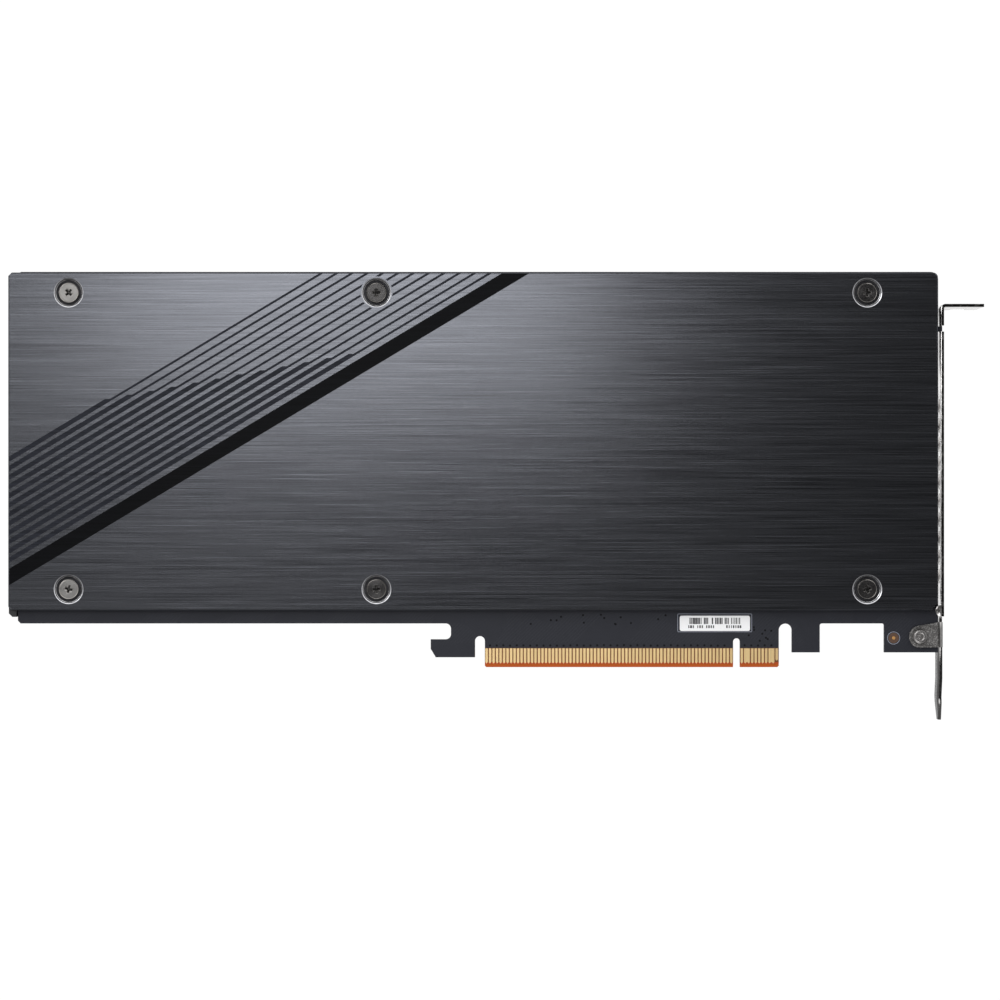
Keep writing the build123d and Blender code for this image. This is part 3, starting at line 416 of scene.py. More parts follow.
def board_material():
    """Dark mask over the board, bare laminate round the contacts."""
    material, tree, shader = new_material("Solder mask and laminate", roughness=0.42,
                                          Specular_IOR_Level=0.2)
    x, y, z = coordinates(tree)
    wide = inside_range(tree, x, pads_low.x - 3 * mm, pads_high.x + 3 * mm)
    field = calculate(tree, "MULTIPLY", wide, calculate(tree, "LESS_THAN", y, pads_high.y + 0.1 * mm))
    bevel = calculate(tree, "MULTIPLY", wide, calculate(tree, "LESS_THAN", y, pads_low.y + 0.4 * mm))
    lower = calculate(tree, "MULTIPLY", wide, calculate(tree, "LESS_THAN", y, pads_low.y - 0.2 * mm))
    tint = blend_colours(tree, field, colour(0.024, 0.0253, 0.0325), colour(0.17, 0.06, 0.026))
    tint = blend_colours(tree, bevel, tint, colour(0.44, 0.07, 0.013))
    tint = blend_colours(tree, lower, tint, colour(0.53, 0.1, 0.008))
    track = track_mask(tree, x, y)
    tint = blend_colours(tree, calculate(tree, "MULTIPLY", track, 0.35), tint, colour(0.035, 0.037, 0.045))
    finish = place_group(tree, grained_group, {
        "Colour": tint, "Grain size": 0.0005, "Mottle": 0.07, "Roughness": 0.42, "Relief": 0.12,
    })
    join_finish(tree, shader, finish)
    raised = add_node(tree, "ShaderNodeBump", None,
                      {"Strength": 0.35, "Distance": 0.00004, "Height": track, "Normal": finish.outputs["Normal"]})
    tree.links.new(raised.outputs[0], shader.inputs["Normal"])
    return material


dress(board_material(), "circuit_board")

# %% [markdown]
# ## Metals
# The contacts are copper under nickel and a thin layer of gold, wiped along their length each time the card
# is plugged in. The heatsink is extruded aluminium and shows its drawing lines. Shafts and screws are
# turned, the bearing is pressed from bronze powder, and the stator is a stack of punched sheets. Each takes
# one of the two groups with its own direction and fineness.

# %% Metal finishes
gilt = brushed("Gilt contact", colour(0.96, 0.71, 0.36), (2500, 60, 2500), streaks=0.08, roughness=0.42,
               spread=0.1, relief=0.1)
extruded = brushed("Extruded aluminium", colour(0.74, 0.75, 0.76), (25, 1400, 1400), streaks=0.1,
                   roughness=0.32, relief=0.2)
steel = brushed("Turned steel", colour(0.55, 0.54, 0.53), (500, 500, 500), streaks=0.05, roughness=0.28,
                relief=0.05)
brass = brushed("Brass", colour(0.74, 0.56, 0.26), (600, 600, 60), streaks=0.08, roughness=0.32)
bronze = grained("Sintered bronze", colour(0.42, 0.24, 0.11), 0.0002, 0.15, 0.42, 0.4, metallic=1.0)
copper = brushed("Enamelled copper", colour(0.72, 0.26, 0.1), (40, 40, 5000), streaks=0.3, roughness=0.3,
                 relief=0.9)
laminated = brushed("Laminated steel", colour(0.36, 0.36, 0.37), (20, 20, 6000), streaks=0.2, roughness=0.4,
                    relief=0.6)
dress(gilt, "rear_contacts", "front_contacts")
dress(extruded, "heatsink")
dress(brass, "drive_standoffs")
dress(bronze, "fan_bearing")
dress(steel, "fan_shaft", "drive_screws")
dress(copper, "fan_windings")
dress(laminated, "fan_stator")

# %% [markdown]
# ## Plastics, packages and pads
# The front cover and the blower are moulded black plastic: the cover has a sparked grain, the blower is
# smoother. Chips sit in matt epoxy, the pads between chips and metal are soft silicone, and the small boards
# are green laminate. Nothing here is metal, so the grained group gives them all their finish.

# %% Plastics, pads and packages
cover_black = grained("Grained black moulding", colour(0.018, 0.0185, 0.02), 0.00055, 0.08, 0.5, 0.45)
fan_black = grained("Smooth black moulding", colour(0.014, 0.014, 0.015), 0.0003, 0.06, 0.34, 0.12)
epoxy = grained("Epoxy package", colour(0.016, 0.016, 0.017), 0.00022, 0.12, 0.55, 0.35)
socket_black = grained("Socket moulding", colour(0.022, 0.022, 0.022), 0.0003, 0.06, 0.4, 0.1)
silicone = grained("Silicone pad", colour(0.30, 0.34, 0.40), 0.0006, 0.12, 0.85, 0.4)
green_mask = grained("Green solder mask", colour(0.01, 0.05, 0.028), 0.0006, 0.15, 0.35, 0.15)
ferrite = grained("Ferrite", colour(0.055, 0.055, 0.058), 0.00025, 0.25, 0.6, 0.5)
magnet = grained("Bonded magnet", colour(0.03, 0.03, 0.032), 0.0003, 0.2, 0.45, 0.3, metallic=0.5)
can = brushed("Capacitor can", colour(0.66, 0.67, 0.68), (300, 300, 3000), streaks=0.06, roughness=0.28)
drives = range(1, 5)
dress(cover_black, "front_cover")
dress(fan_black, "fan_housing", "fan_top_plate", "fan_impeller")
dress(epoxy, "board_chips", *[f"drive_{kind}_{i}" for kind in ("controller", "buffer", "flash") for i in drives])
dress(socket_black, "fan_header", *[f"drive_socket_{i}" for i in drives])
dress(silicone, "back_thermal_pads", "drive_thermal_pads")
dress(green_mask, "fan_board", *[f"drive_board_{i}" for i in drives])
dress(ferrite, "power_inductors")
dress(magnet, "fan_magnet_ring")
dress(can, "board_capacitors")

# %% [markdown]
# ## The bracket
# The bracket is cut and folded from nickel-plated sheet. The plating is mottled from rolling and
# handling. Its colour also carries painted light. The sheared edge on the near side is painted dark as shade,
# with bright flecks as painted glints, which draws a thin line along the card's end. The inner face is painted
# brighter as a highlight, and the tongue is painted darker below the plate's edge as shade. The ear's top is
# painted darker as shade, with bright specks as painted sparkle, and its bevelled rim keeps the brighter tint as
# a highlight.

# %% Nickel-plated sheet
SHEET = 0.86 * mm
face_out = board_high.x + 0.2 * mm
face_in = face_out - SHEET


def nickel_material():
    """Mottled plating with painted light: painted shade on the ear, the tongue and the sheared edge on the near side,
    painted glints on that edge and sparkle on the ear, and a painted highlight on the inner face.
    """
    material, tree, shader = new_material("Nickel plate", metallic=1.0, roughness=0.16)
    x, y, z = coordinates(tree)
    # Painted shade: the sheared edge on the near side is painted dark, with bright flecks as painted glints.
    edge = calculate(tree, "MULTIPLY", calculate(tree, "GREATER_THAN", z, bracket_high.z - 0.25 * mm),
                     calculate(tree, "GREATER_THAN", x, face_in + 0.22 * mm))
    spots = add_node(tree, "ShaderNodeTexNoise", None, {"Scale": 900.0, "Detail": 0.0,
                     "Vector": add_node(tree, "ShaderNodeTexCoord").outputs["Object"]})
    edge_glints = calculate(tree, "GREATER_THAN", spots.outputs["Fac"], 0.62)
    sheared = blend_colours(tree, edge_glints, colour(0.06, 0.057, 0.054), colour(0.4, 0.39, 0.38))
    facing = add_node(tree, "ShaderNodeSeparateXYZ", None,
                      {0: add_node(tree, "ShaderNodeTexCoord").outputs["Normal"]}).outputs[2]
    on_board = calculate(tree, "MULTIPLY", calculate(tree, "LESS_THAN", x, face_in - 0.5 * mm),
                         calculate(tree, "LESS_THAN", y, plate_low.y - 3 * mm))
    # Painted shade on the ear: its upward faces are painted darker, with bright specks as painted sparkle; its bevelled
    # rim keeps the brighter tint as a painted highlight.
    ear = calculate(tree, "MULTIPLY", on_board, calculate(tree, "GREATER_THAN", facing, 0.9))
    # Painted shade: the tongue is painted darker below the plate's edge.
    tongue = add_node(tree, "ShaderNodeMapRange", {"interpolation_type": "SMOOTHSTEP"},
                      {"Value": y, "From Min": plate_low.y - 6 * mm, "From Max": plate_low.y,
                       "To Min": 1.0, "To Max": 0.0}).outputs[0]
    # Painted highlight: the inner face is painted brighter than the outer face.
    inner = inside_range(tree, x, face_in - 0.5 * mm, face_in + 0.3 * mm)
    tint = blend_colours(tree, inner, colour(0.56, 0.545, 0.535), colour(0.86, 0.845, 0.835))
    tint = blend_colours(tree, tongue, tint, colour(0.19, 0.186, 0.183))
    speckle = add_node(tree, "ShaderNodeTexNoise", None, {"Scale": 2600.0, "Detail": 1.0,
                       "Vector": add_node(tree, "ShaderNodeTexCoord").outputs["Object"]})
    speckled = calculate(tree, "GREATER_THAN", speckle.outputs["Fac"], 0.56)
    ear_shade_and_sparkle = blend_colours(tree, speckled, colour(0.12, 0.116, 0.114), colour(0.25, 0.244, 0.24))
    tint = blend_colours(tree, ear, tint, ear_shade_and_sparkle)
    tint = blend_colours(tree, edge, tint, sheared)
    rough = calculate(tree, "MULTIPLY_ADD", ear, 0.28, 0.17)
    finish = place_group(tree, grained_group, {
        "Colour": tint, "Grain size": 0.0007, "Mottle": 0.55, "Roughness": rough, "Relief": 0.4,
    })
    join_finish(tree, shader, finish)
    # The tongue's painted shade also dims the tint of its reflections.
    grazing = blend_colours(tree, tongue, colour(1, 1, 1), colour(0.3, 0.3, 0.3))
    tree.links.new(grazing, shader.inputs["Specular Tint"])
    return material

# %% [markdown]
# ## Turned shapes
# Screws and rivets are turned or pressed round an axis. A profile, drawn as radius and height and swept
# round in steps, gives a closed shape with true edges. The sweep is written out here, because it lets
# the ends close in a single point.

# %% Sweep a profile round the axis
def finish_mesh(bm, name, crease=32):
    """Turns worked geometry into a smooth-shaded mesh with sharp creases."""
    bmesh.ops.recalc_face_normals(bm, faces=bm.faces)
    mesh = bpy.data.meshes.new(name)
    bm.to_mesh(mesh)
    bm.free()
    for face in mesh.polygons:
        face.use_smooth = True
    mesh.set_sharp_from_angle(angle=math.radians(crease))
    return mesh


def turned(name, profile, steps=40, crease=32):
    """A closed solid of revolution round Z from (radius, height) pairs, top to bottom, in millimetres."""
    bm = bmesh.new()
    rings = []
    for radius, height in profile:
        if radius == 0:
            rings.append([bm.verts.new((0, 0, height * mm))])
            continue
        angles = [2 * math.pi * i / steps for i in range(steps)]
        rings.append([bm.verts.new((radius * mm * math.cos(a), radius * mm * math.sin(a), height * mm))
                      for a in angles])
    for upper, lower in zip(rings, rings[1:]):
        for i in range(steps):
            j = (i + 1) % steps
            corners = [upper[i % len(upper)], upper[j % len(upper)], lower[j % len(lower)], lower[i % len(lower)]]
            unique = list(dict.fromkeys(corners))
            if len(unique) > 2:
                bm.faces.new(unique)
    return finish_mesh(bm, name, crease)


def new_object(name, mesh):
    """Links a mesh to the scene as an object at the origin."""
    made = bpy.data.objects.new(name, mesh)
    bpy.context.scene.collection.objects.link(made)
    return made


def cross_outline(reach, half):
    """The twelve corners of a cross, in millimetres."""
    return [(half, half), (half, reach), (-half, reach), (-half, half), (-reach, half), (-reach, -half),
            (-half, -half), (-half, -reach), (half, -reach), (half, -half), (reach, -half), (reach, half)]


def cross_cutter(reach, width, depth, lip=0.14):
    """A cross-shaped plug for a driver recess: a bevelled mouth, tapered arms and a raised middle."""
    bm = bmesh.new()
    half = width / 2
    levels = ((3 * lip, 3 * lip), (0.0, -lip), (-0.3 * half, -depth))
    rings = [[bm.verts.new((x * mm, y * mm, height * mm)) for x, y in cross_outline(reach + grow, half + grow)]
             for grow, height in levels]
    bm.faces.new(rings[0])
    for upper, lower in zip(rings, rings[1:]):
        for i in range(len(upper)):
            j = (i + 1) % len(upper)
            bm.faces.new((upper[j], upper[i], lower[i], lower[j]))
    pip = bm.verts.new((0, 0, -0.5 * depth * mm))
    for i in range(len(rings[-1])):
        bm.faces.new((rings[-1][(i + 1) % len(rings[-1])], rings[-1][i], pip))
    return finish_mesh(bm, "cutter")


def cut(target, cutter_mesh, at):
    """Cuts a shape out of an object and keeps the result as its mesh."""
    cutter = new_object("cutter", cutter_mesh)
    cutter.data.transform(Matrix.Translation(at))
    boolean = target.modifiers.new("cut", "BOOLEAN")
    boolean.operation = "DIFFERENCE"
    boolean.object = cutter
    boolean.solver = "EXACT"
    shown = bpy.context.evaluated_depsgraph_get()
    mesh = bpy.data.meshes.new_from_object(target.evaluated_get(shown))
    target.modifiers.clear()
    bpy.data.objects.remove(cutter)
    target.data = mesh

# %% [markdown]
# ## The bracket's broken edges
# A imported part is made of loose triangles with knife edges, and a folded sheet has none. So a copy of the
# bracket is merged into one closed mesh, its flat faces are joined, and a bevel breaks the edges, which
# then catch the light. The imported part is kept unchanged and hidden, and the copy is shown in its place.
# The imported part keeps its shape for the physics, and the copy stands for it.

# %% A bevelled copy of the bracket
def bevelled_copy(source, width, segments=2, sharper_than=35):
    """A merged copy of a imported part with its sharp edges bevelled."""
    bm = bmesh.new()
    bm.from_mesh(nodes[source].data)
    bmesh.ops.remove_doubles(bm, verts=bm.verts, dist=0.001 * mm)
    bmesh.ops.dissolve_limit(bm, angle_limit=math.radians(1), verts=bm.verts, edges=bm.edges)
    sharp = [edge for edge in bm.edges if edge.calc_face_angle(0) > math.radians(sharper_than)]
    bmesh.ops.bevel(bm, geom=sharp, offset=width, segments=segments, affect="EDGES", profile=0.5,
                    clamp_overlap=True)
    bmesh.ops.triangulate(bm, faces=[face for face in bm.faces if len(face.verts) > 4])
    return finish_mesh(bm, source + " bevelled", 30)


bracket_sheet = new_object("bracket_sheet", bevelled_copy("bracket", 0.18 * mm))
bracket_sheet.data.materials.clear()
bracket_sheet.data.materials.append(nickel_material())
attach(bracket_sheet, "card")
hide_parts("bracket")
print("bracket_sheet has", len(bracket_sheet.data.polygons), "faces")

# %% [markdown]
# ## Copies with Geometry Nodes
# All six back screws have one shape, and each stopped at its own angle. Rather than copy it by hand, a
# small Geometry Nodes tree puts an instance of one screw on every point of a mesh and turns each one by a
# seeded random angle. It also stores how far each point of the screw is from its axis, so that the
# material can draw turning rings round every head. The same tree later lays out vias and chip parts.

# %% The copying tree
def build_copies_tree():
    """Instances of one object on the points of a mesh, turned at random and made real."""
    tree, given, result = new_group(
        "Copies on points", "GeometryNodeTree",
        [
            ("Points", "NodeSocketGeometry", None),
            ("Original", "NodeSocketObject", None),
            ("Largest turn", "NodeSocketFloat", 0.0),
            ("Seed", "NodeSocketInt", 0),
            ("Finish", "NodeSocketMaterial", None),
        ],
        [("Geometry", "NodeSocketGeometry")],
    )
    original = add_node(tree, "GeometryNodeObjectInfo", None, {"Object": given.outputs["Original"]})
    place = add_node(tree, "GeometryNodeInputPosition").outputs[0]
    flat = add_node(tree, "ShaderNodeVectorMath", {"operation": "MULTIPLY"}, {0: place, 1: (1, 1, 0)}).outputs[0]
    radius = add_node(tree, "ShaderNodeVectorMath", {"operation": "LENGTH"}, {0: flat}).outputs["Value"]
    marked = add_node(tree, "GeometryNodeStoreNamedAttribute", {"data_type": "FLOAT", "domain": "POINT"},
                      {"Geometry": original.outputs["Geometry"], "Name": "from_axis", "Value": radius})
    turn = add_node(tree, "FunctionNodeRandomValue", {"data_type": "FLOAT"},
                    {"Min": 0.0, "Max": given.outputs["Largest turn"], "Seed": given.outputs["Seed"]})
    angles = add_node(tree, "ShaderNodeCombineXYZ", None, {"Z": turn.outputs[1]})
    copies = add_node(tree, "GeometryNodeInstanceOnPoints", None,
                      {"Points": given.outputs["Points"], "Instance": marked.outputs[0],
                       "Rotation": angles.outputs[0]})
    real = add_node(tree, "GeometryNodeRealizeInstances", None, {0: copies.outputs[0]})
    finished = add_node(tree, "GeometryNodeSetMaterial", None,
                        {"Geometry": real.outputs[0], "Material": given.outputs["Finish"]})
    tree.links.new(finished.outputs[0], result.inputs[0])
    return tree


copies_tree = build_copies_tree()


def set_input(modifier, label, value):
    """Sets a modifier's input by its socket's identifier."""
    for item in modifier.node_group.interface.items_tree:
        if item.item_type == "SOCKET" and item.in_out == "INPUT" and item.name == label:
            modifier[item.identifier] = value


def run_tree(carrier, tree, values):
    """Runs a tree on an object and returns the result as a plain mesh."""
    modifier = carrier.modifiers.new("tree", "NODES")
    modifier.node_group = tree
    for label, value in values.items():
        set_input(modifier, label, value)
    shown = bpy.context.evaluated_depsgraph_get()
    mesh = bpy.data.meshes.new_from_object(carrier.evaluated_get(shown))
    carrier.modifiers.remove(modifier)
    return mesh


def copies(name, original, places, finish, slot, largest_turn=0.0, seed=1):
    """Copies of one shape at the given places, as one finished piece."""
    points = bpy.data.meshes.new(name + " points")
    points.from_pydata([tuple(p) for p in places], [], [])
    carrier = new_object(name + " carrier", points)
    pattern = new_object(name + " original", original)
    mesh = run_tree(carrier, copies_tree, {
        "Original": pattern, "Largest turn": largest_turn, "Seed": seed, "Finish": finish,
    })
    bpy.data.objects.remove(carrier)
    bpy.data.objects.remove(pattern)
    piece = new_object(name, mesh)
    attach(piece, "card")
    print(name, "has", len(places), "copies and", len(mesh.polygons), "faces")
    return piece

# %% [markdown]
# ## Screws of the back plate
# The heads are flat, with a thin lip at the rim and a small cross recess with a bevelled mouth. Two kinds
# are used: plain nickel in the plastic posts at the card's end, and black nickel in the heatsink's legs.
# Rings from the lathe catch the light. The heads also carry painted light: a bright rim and bright recess
# edges are painted highlights, and the recess and the head's side in the pocket are painted shade. All of it is
# drawn in the material, from the stored distance to the axis and from the height.

# %% Screw finish with turning rings
def ringed(name, tint, roughness, pitch=0.16 * mm, relief=0.35):
    """Plated metal with turning rings round each head's own axis."""
    material, tree, shader = new_material(name, metallic=1.0, roughness=roughness)
    radius = add_node(tree, "ShaderNodeAttribute", {"attribute_name": "from_axis"}).outputs["Fac"]
    if callable(tint):
        tint = tint(tree, radius)
    finish = place_group(tree, grained_group, {
        "Colour": tint, "Grain size": 0.0003, "Mottle": 0.1, "Roughness": roughness, "Relief": 0.1,
    })
    wave = calculate(tree, "SINE", calculate(tree, "MULTIPLY", radius, 2 * math.pi / pitch))
    rings = add_node(tree, "ShaderNodeBump", None,
                     {"Strength": relief, "Distance": 0.00001, "Height": wave, "Normal": finish.outputs["Normal"]})
    tree.links.new(finish.outputs["Colour"], shader.inputs["Base Color"])
    tree.links.new(finish.outputs["Roughness"], shader.inputs["Roughness"])
    tree.links.new(rings.outputs[0], shader.inputs["Normal"])
    return material


def painted_head_tint(plain, highlight_tint):
    """The tint of a head with painted light: painted highlights on the rim and the recess edges, and painted shade down
    in the recess and on the head's side.
    """
    def tint(tree, radius):
        x, y, z = coordinates(tree)
        # Painted highlights on the rim and on the recess mouth.
        rim = inside_range(tree, radius, 2.62 * mm, 2.84 * mm)
        near = calculate(tree, "LESS_THAN", radius, 1.5 * mm)
        mouth = calculate(tree, "MULTIPLY", near, inside_range(tree, z, screw_top - 0.15 * mm, screw_top - 0.03 * mm))
        light = calculate(tree, "MAXIMUM", rim, mouth)
        # Painted shade down in the recess and on the head's side below the top.
        deep = inside_range(tree, z, screw_top - 0.9 * mm, screw_top - 0.15 * mm)
        recess_shade = calculate(tree, "MULTIPLY", deep, inside_range(tree, radius, 0.26 * mm, 1.5 * mm))
        outside = calculate(tree, "MULTIPLY", calculate(tree, "GREATER_THAN", radius, 2.85 * mm),
                            calculate(tree, "LESS_THAN", z, screw_top - 0.1 * mm))
        dark = calculate(tree, "MAXIMUM", recess_shade, outside)
        return blend_colours(tree, dark, blend_colours(tree, light, plain, highlight_tint), colour(0.08, 0.078, 0.076))
    return tint


light_nickel = ringed("Plain nickel screw", painted_head_tint(colour(0.265, 0.258, 0.25), colour(0.42, 0.40, 0.38)), 0.36)
black_nickel = ringed("Black nickel screw", painted_head_tint(colour(0.062, 0.06, 0.06), colour(0.21, 0.2, 0.19)), 0.3)

# %% Back screws
SCREW_GRIP = (screws_high.z - screws_low.z) / mm


def back_screw():
    """A flat head with a rolled rim and a cross recess, on a plain shank."""
    profile = [(0, SCREW_TOP - 0.02), (0.6, SCREW_TOP - 0.02), (1.3, SCREW_TOP - 0.02), (2.0, SCREW_TOP - 0.02),
               (2.5, SCREW_TOP - 0.02), (2.58, SCREW_TOP - 0.07), (2.66, SCREW_TOP - 0.01), (2.74, SCREW_TOP),
               (2.82, SCREW_TOP - 0.07), (2.9, SCREW_TOP - 0.24), (2.9, 0), (1.5, 0),
               (1.5, SCREW_TOP - SCREW_GRIP), (0, SCREW_TOP - SCREW_GRIP)]
    head = new_object("screw head", turned("screw", profile, 48))
    cut(head, cross_cutter(1.08, 0.6, 0.75), Vector((0, 0, SCREW_TOP * mm)))
    mesh = head.data
    bpy.data.objects.remove(head)
    return mesh


seat = screw_top - SCREW_TOP * mm
end_places = [(screw_columns[0], y, seat) for y in screw_rows]
leg_places = [(x, y, seat) for x in screw_columns[1:] for y in screw_rows]
end_screws = copies("end_screws", back_screw(), end_places, light_nickel, "screw_steel", 2 * math.pi, 4)
copies("leg_screws", back_screw(), leg_places, black_nickel, "black_screw", 2 * math.pi, 5)
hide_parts("back_plate_screws")

# %% [markdown]
# ## The bracket's rivet
# A pressed rivet has a domed rim round a dished middle with a small button in it, which reads as nested
# rings. Its far end is pressed flat.

# %% Rivet
def rivet(top, tail):
    """A rivet between its head's top and its tail's end, in millimetres."""
    profile = [(0, top - 0.08), (0.34, top - 0.1), (0.5, top - 0.3), (0.72, top - 0.34), (0.88, top - 0.12),
               (1.15, top - 0.02), (1.45, top), (1.85, top - 0.14), (2.05, top - 0.36), (2.15, top - 0.62),
               (2.15, top - 0.7), (1.5, top - 0.7), (1.5, tail + 0.7), (2.3, tail + 0.7),
               (2.3, tail + 0.25), (2.1, tail), (0, tail)]
    return turned("rivet", profile, 40, 28)


rivet_place = (rivet_low.x + RIVET_TAIL_R, rivet_low.y + RIVET_TAIL_R, 0)
bright_nickel = ringed("Bright nickel rivet", colour(0.3, 0.29, 0.285), 0.34)
bracket_rivet = copies("rivet", rivet(rivet_high.z / mm, rivet_low.z / mm), [rivet_place], bright_nickel,
                       "bracket_nickel")
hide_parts("bracket_rivet")

# %% [markdown]
# ## Screws of the front cover
# Four flat-headed screws are countersunk level with the cover. They point the other way, so the profile
# is drawn with its head down.

# %% Cover screws
def cover_screw():
    """A countersunk screw with its head at the bottom, in millimetres from the cover's face."""
    length = (cover_screws_high.z - cover_screws_low.z) / mm
    profile = [(0, length), (1.5, length), (1.5, 1.35), (2.74, 0.1), (2.8, 0.0), (2.3, 0.0), (1.6, 0.0),
               (0.9, 0.0), (0, 0.0)]
    head = new_object("cover screw head", turned("cover screw", profile, 40))
    plug = cross_cutter(1.15, 0.6, 0.75)
    plug.transform(Matrix.Rotation(math.pi, 4, "X"))
    cut(head, plug, Vector((0, 0, 0)))
    mesh = head.data
    bpy.data.objects.remove(head)
    return mesh


black_finish = ringed("Black oxide screw", colour(0.05, 0.05, 0.053), 0.36)
cover_columns = (cover_screws_low.x + COVER_HEAD_R, cover_screws_high.x - COVER_HEAD_R)
cover_rows = (cover_screws_low.y + COVER_HEAD_R, cover_screws_high.y - COVER_HEAD_R)
places = [(x, y, cover_screws_low.z) for x in cover_columns for y in cover_rows]
front_screws = copies("front_screws", cover_screw(), places, black_finish, "black_screw", 2 * math.pi, 9)
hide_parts("cover_screws")
dress(black_finish, "fan_screws")

# %% [markdown]
# ## Vias
# A via is a plated hole that joins the board's layers. Under solder mask it shows as a small dark dimple
# with a faint raised rim. One row stands above the contacts, one via for two contacts, and a few more are
# scattered near the key notch.

# %% Vias
def via():
    """A faint raised rim round a shallow dimple, in millimetres above the board."""
    profile = [(0, 0.004), (0.1, 0.006), (0.17, 0.02), (0.24, 0.018), (0.3, 0.0), (0, -0.01)]
    return turned("via", profile, 14, 60)


def via_places():
    """A row above the contacts, and a seeded scatter near the notch and along the strip."""
    chance = random.Random(7)
    places = []
    row = pads_high.y + 0.85 * mm
    x = pads_low.x + 1.3 * mm
    while x < pads_high.x - 0.5 * mm:
        if not -1.6 * mm < x < 1.6 * mm:
            places.append((x, row + chance.uniform(-0.08, 0.08) * mm, board_back))
        x += 1.917 * mm
    for _ in range(9):
        places.append((chance.uniform(2.5, 11.0) * mm, chance.uniform(7.4, 11.5) * mm, board_back))
    for _ in range(14):
        places.append((chance.uniform(-64, -20) * mm, chance.uniform(12.2, 15.4) * mm, board_back))
    return places


via_finish = grained("Masked via", colour(0.005, 0.005, 0.006), 0.0003, 0.05, 0.6, 0.1, Specular_IOR_Level=0.1)
vias = copies("vias", via(), via_places(), via_finish, "board")

# %% [markdown]
# ## Chip capacitors by the contacts
# On the front, every pair of data contacts has a tiny ceramic capacitor beside it. They stand in two rows
# on the strip that the cover leaves open. The body is tan ceramic and the ends are tinned.

# %% Chip capacitors
def rounded_box(name, size, round_by):
    """A small block with rounded edges, standing on its middle, in millimetres."""
    bm = bmesh.new()
    bmesh.ops.create_cube(bm, size=1.0, matrix=Matrix.Diagonal((*[s * mm for s in size], 1.0)))
    bmesh.ops.bevel(bm, geom=bm.edges, offset=round_by * mm, segments=2, affect="EDGES", profile=0.5)
    return finish_mesh(bm, name, 50)


def capacitor_rows(lift):
    """Places of the capacitors: two rows beside the contacts."""
    places = []
    for row, y in enumerate((7.6 * mm, 9.9 * mm)):
        x = pads_low.x + (1.4 + row) * mm
        while x < -3.0 * mm:
            places.append((x, y, board_front - lift * mm))
            x += 2.0 * mm
    return places


def capacitor_ends():
    """The two tinned ends of each capacitor."""
    places = []
    for x, y, z in capacitor_rows(0.27):
        places.append((x, y - 0.4 * mm, z))
        places.append((x, y + 0.4 * mm, z))
    return places


ceramic = grained("Ceramic", colour(0.36, 0.25, 0.16), 0.0002, 0.1, 0.45, 0.2)
tinned = brushed("Tinned end", colour(0.7, 0.69, 0.67), (900, 900, 900), streaks=0.06, roughness=0.38)
copies("chip_capacitors", rounded_box("ceramic body", (0.48, 0.66, 0.46), 0.04), capacitor_rows(0.25), ceramic,
       "board")
copies("capacitor_ends", rounded_box("tinned end", (0.52, 0.24, 0.5), 0.05), capacitor_ends(), tinned, "screw_steel")

# %% [markdown]
# ## The serial label
# A small paper label sits in a thin printed frame. Its print is a row of plain bars with no number, and a
# row of short ticks below it. A second Geometry Nodes tree makes both: a line of points, a seeded choice
# of which ones stay, and a seeded width for each.

# %% Flat shapes
def flat_plate(name, outline, low, high):
    """A thin plate from an outline in metres, between two heights."""
    bm = bmesh.new()
    base = [bm.verts.new((x, y, low)) for x, y in outline]
    top = [bm.verts.new((x, y, high)) for x, y in outline]
    bm.faces.new(list(reversed(base)))
    bm.faces.new(top)
    for i in range(len(outline)):
        j = (i + 1) % len(outline)
        bm.faces.new((base[i], base[j], top[j], top[i]))
    return finish_mesh(bm, name)


def rounded_outline(x0, x1, y0, y1, radius, steps=6):
    """A rectangle with round corners, as a list of places."""
    outline = []
    centres = ((x1 - radius, y0 + radius, -90), (x1 - radius, y1 - radius, 0),
               (x0 + radius, y1 - radius, 90), (x0 + radius, y0 + radius, 180))
    for cx, cy, start in centres:
        for i in range(steps + 1):
            angle = math.radians(start + 90 * i / steps)
            outline.append((cx + radius * math.cos(angle), cy + radius * math.sin(angle)))
    return outline


def flat_ring(name, outer, inner, low, high):
    """A flat frame between two outlines with as many places each."""
    bm = bmesh.new()
    rings = [[bm.verts.new((x, y, z)) for x, y in line]
             for line, z in ((outer, high), (inner, high), (inner, low), (outer, low))]
    count = len(outer)
    for k in range(4):
        first, second = rings[k], rings[(k + 1) % 4]
        for i in range(count):
            j = (i + 1) % count
            bm.faces.new((first[i], first[j], second[j], second[i]))
    return finish_mesh(bm, name)


def finish_piece(name, mesh, material, body="card"):
    """Links a mesh as a piece that rides on a body, with its material."""
    piece = new_object(name, mesh)
    piece.data.materials.append(material)
    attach(piece, body)
    print(name, "has", len(mesh.polygons), "faces")
    return piece

# %% Label and its printed frame
paper_white = grained("Label paper", colour(0.96, 0.96, 0.97), 0.0004, 0.02, 0.5, 0.1)
ink_grey = grained("Screen print", colour(0.25, 0.265, 0.32), 0.0004, 0.05, 0.55, 0.1)
label_outline = rounded_outline(label_low.x, label_high.x, label_low.y, label_high.y, 0.55 * mm)
label = finish_piece("label", flat_plate("label", label_outline, label_low.z, label_high.z), paper_white)
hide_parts("serial_label")

PRINT_T = 0.015 * mm
frame_w = 0.17 * mm
frame_low = (label_low.x - 0.66 * mm, label_low.y - 0.32 * mm)
frame_high = (label_high.x + 0.6 * mm, label_high.y + 0.6 * mm)
outer = rounded_outline(frame_low[0], frame_high[0], frame_low[1], frame_high[1], 0.4 * mm)
inner = rounded_outline(frame_low[0] + frame_w, frame_high[0] - frame_w, frame_low[1] + frame_w,
                        frame_high[1] - frame_w, 0.2 * mm)
finish_piece("label_frame", flat_ring("label frame", outer, inner, board_back, board_back + PRINT_T), ink_grey)

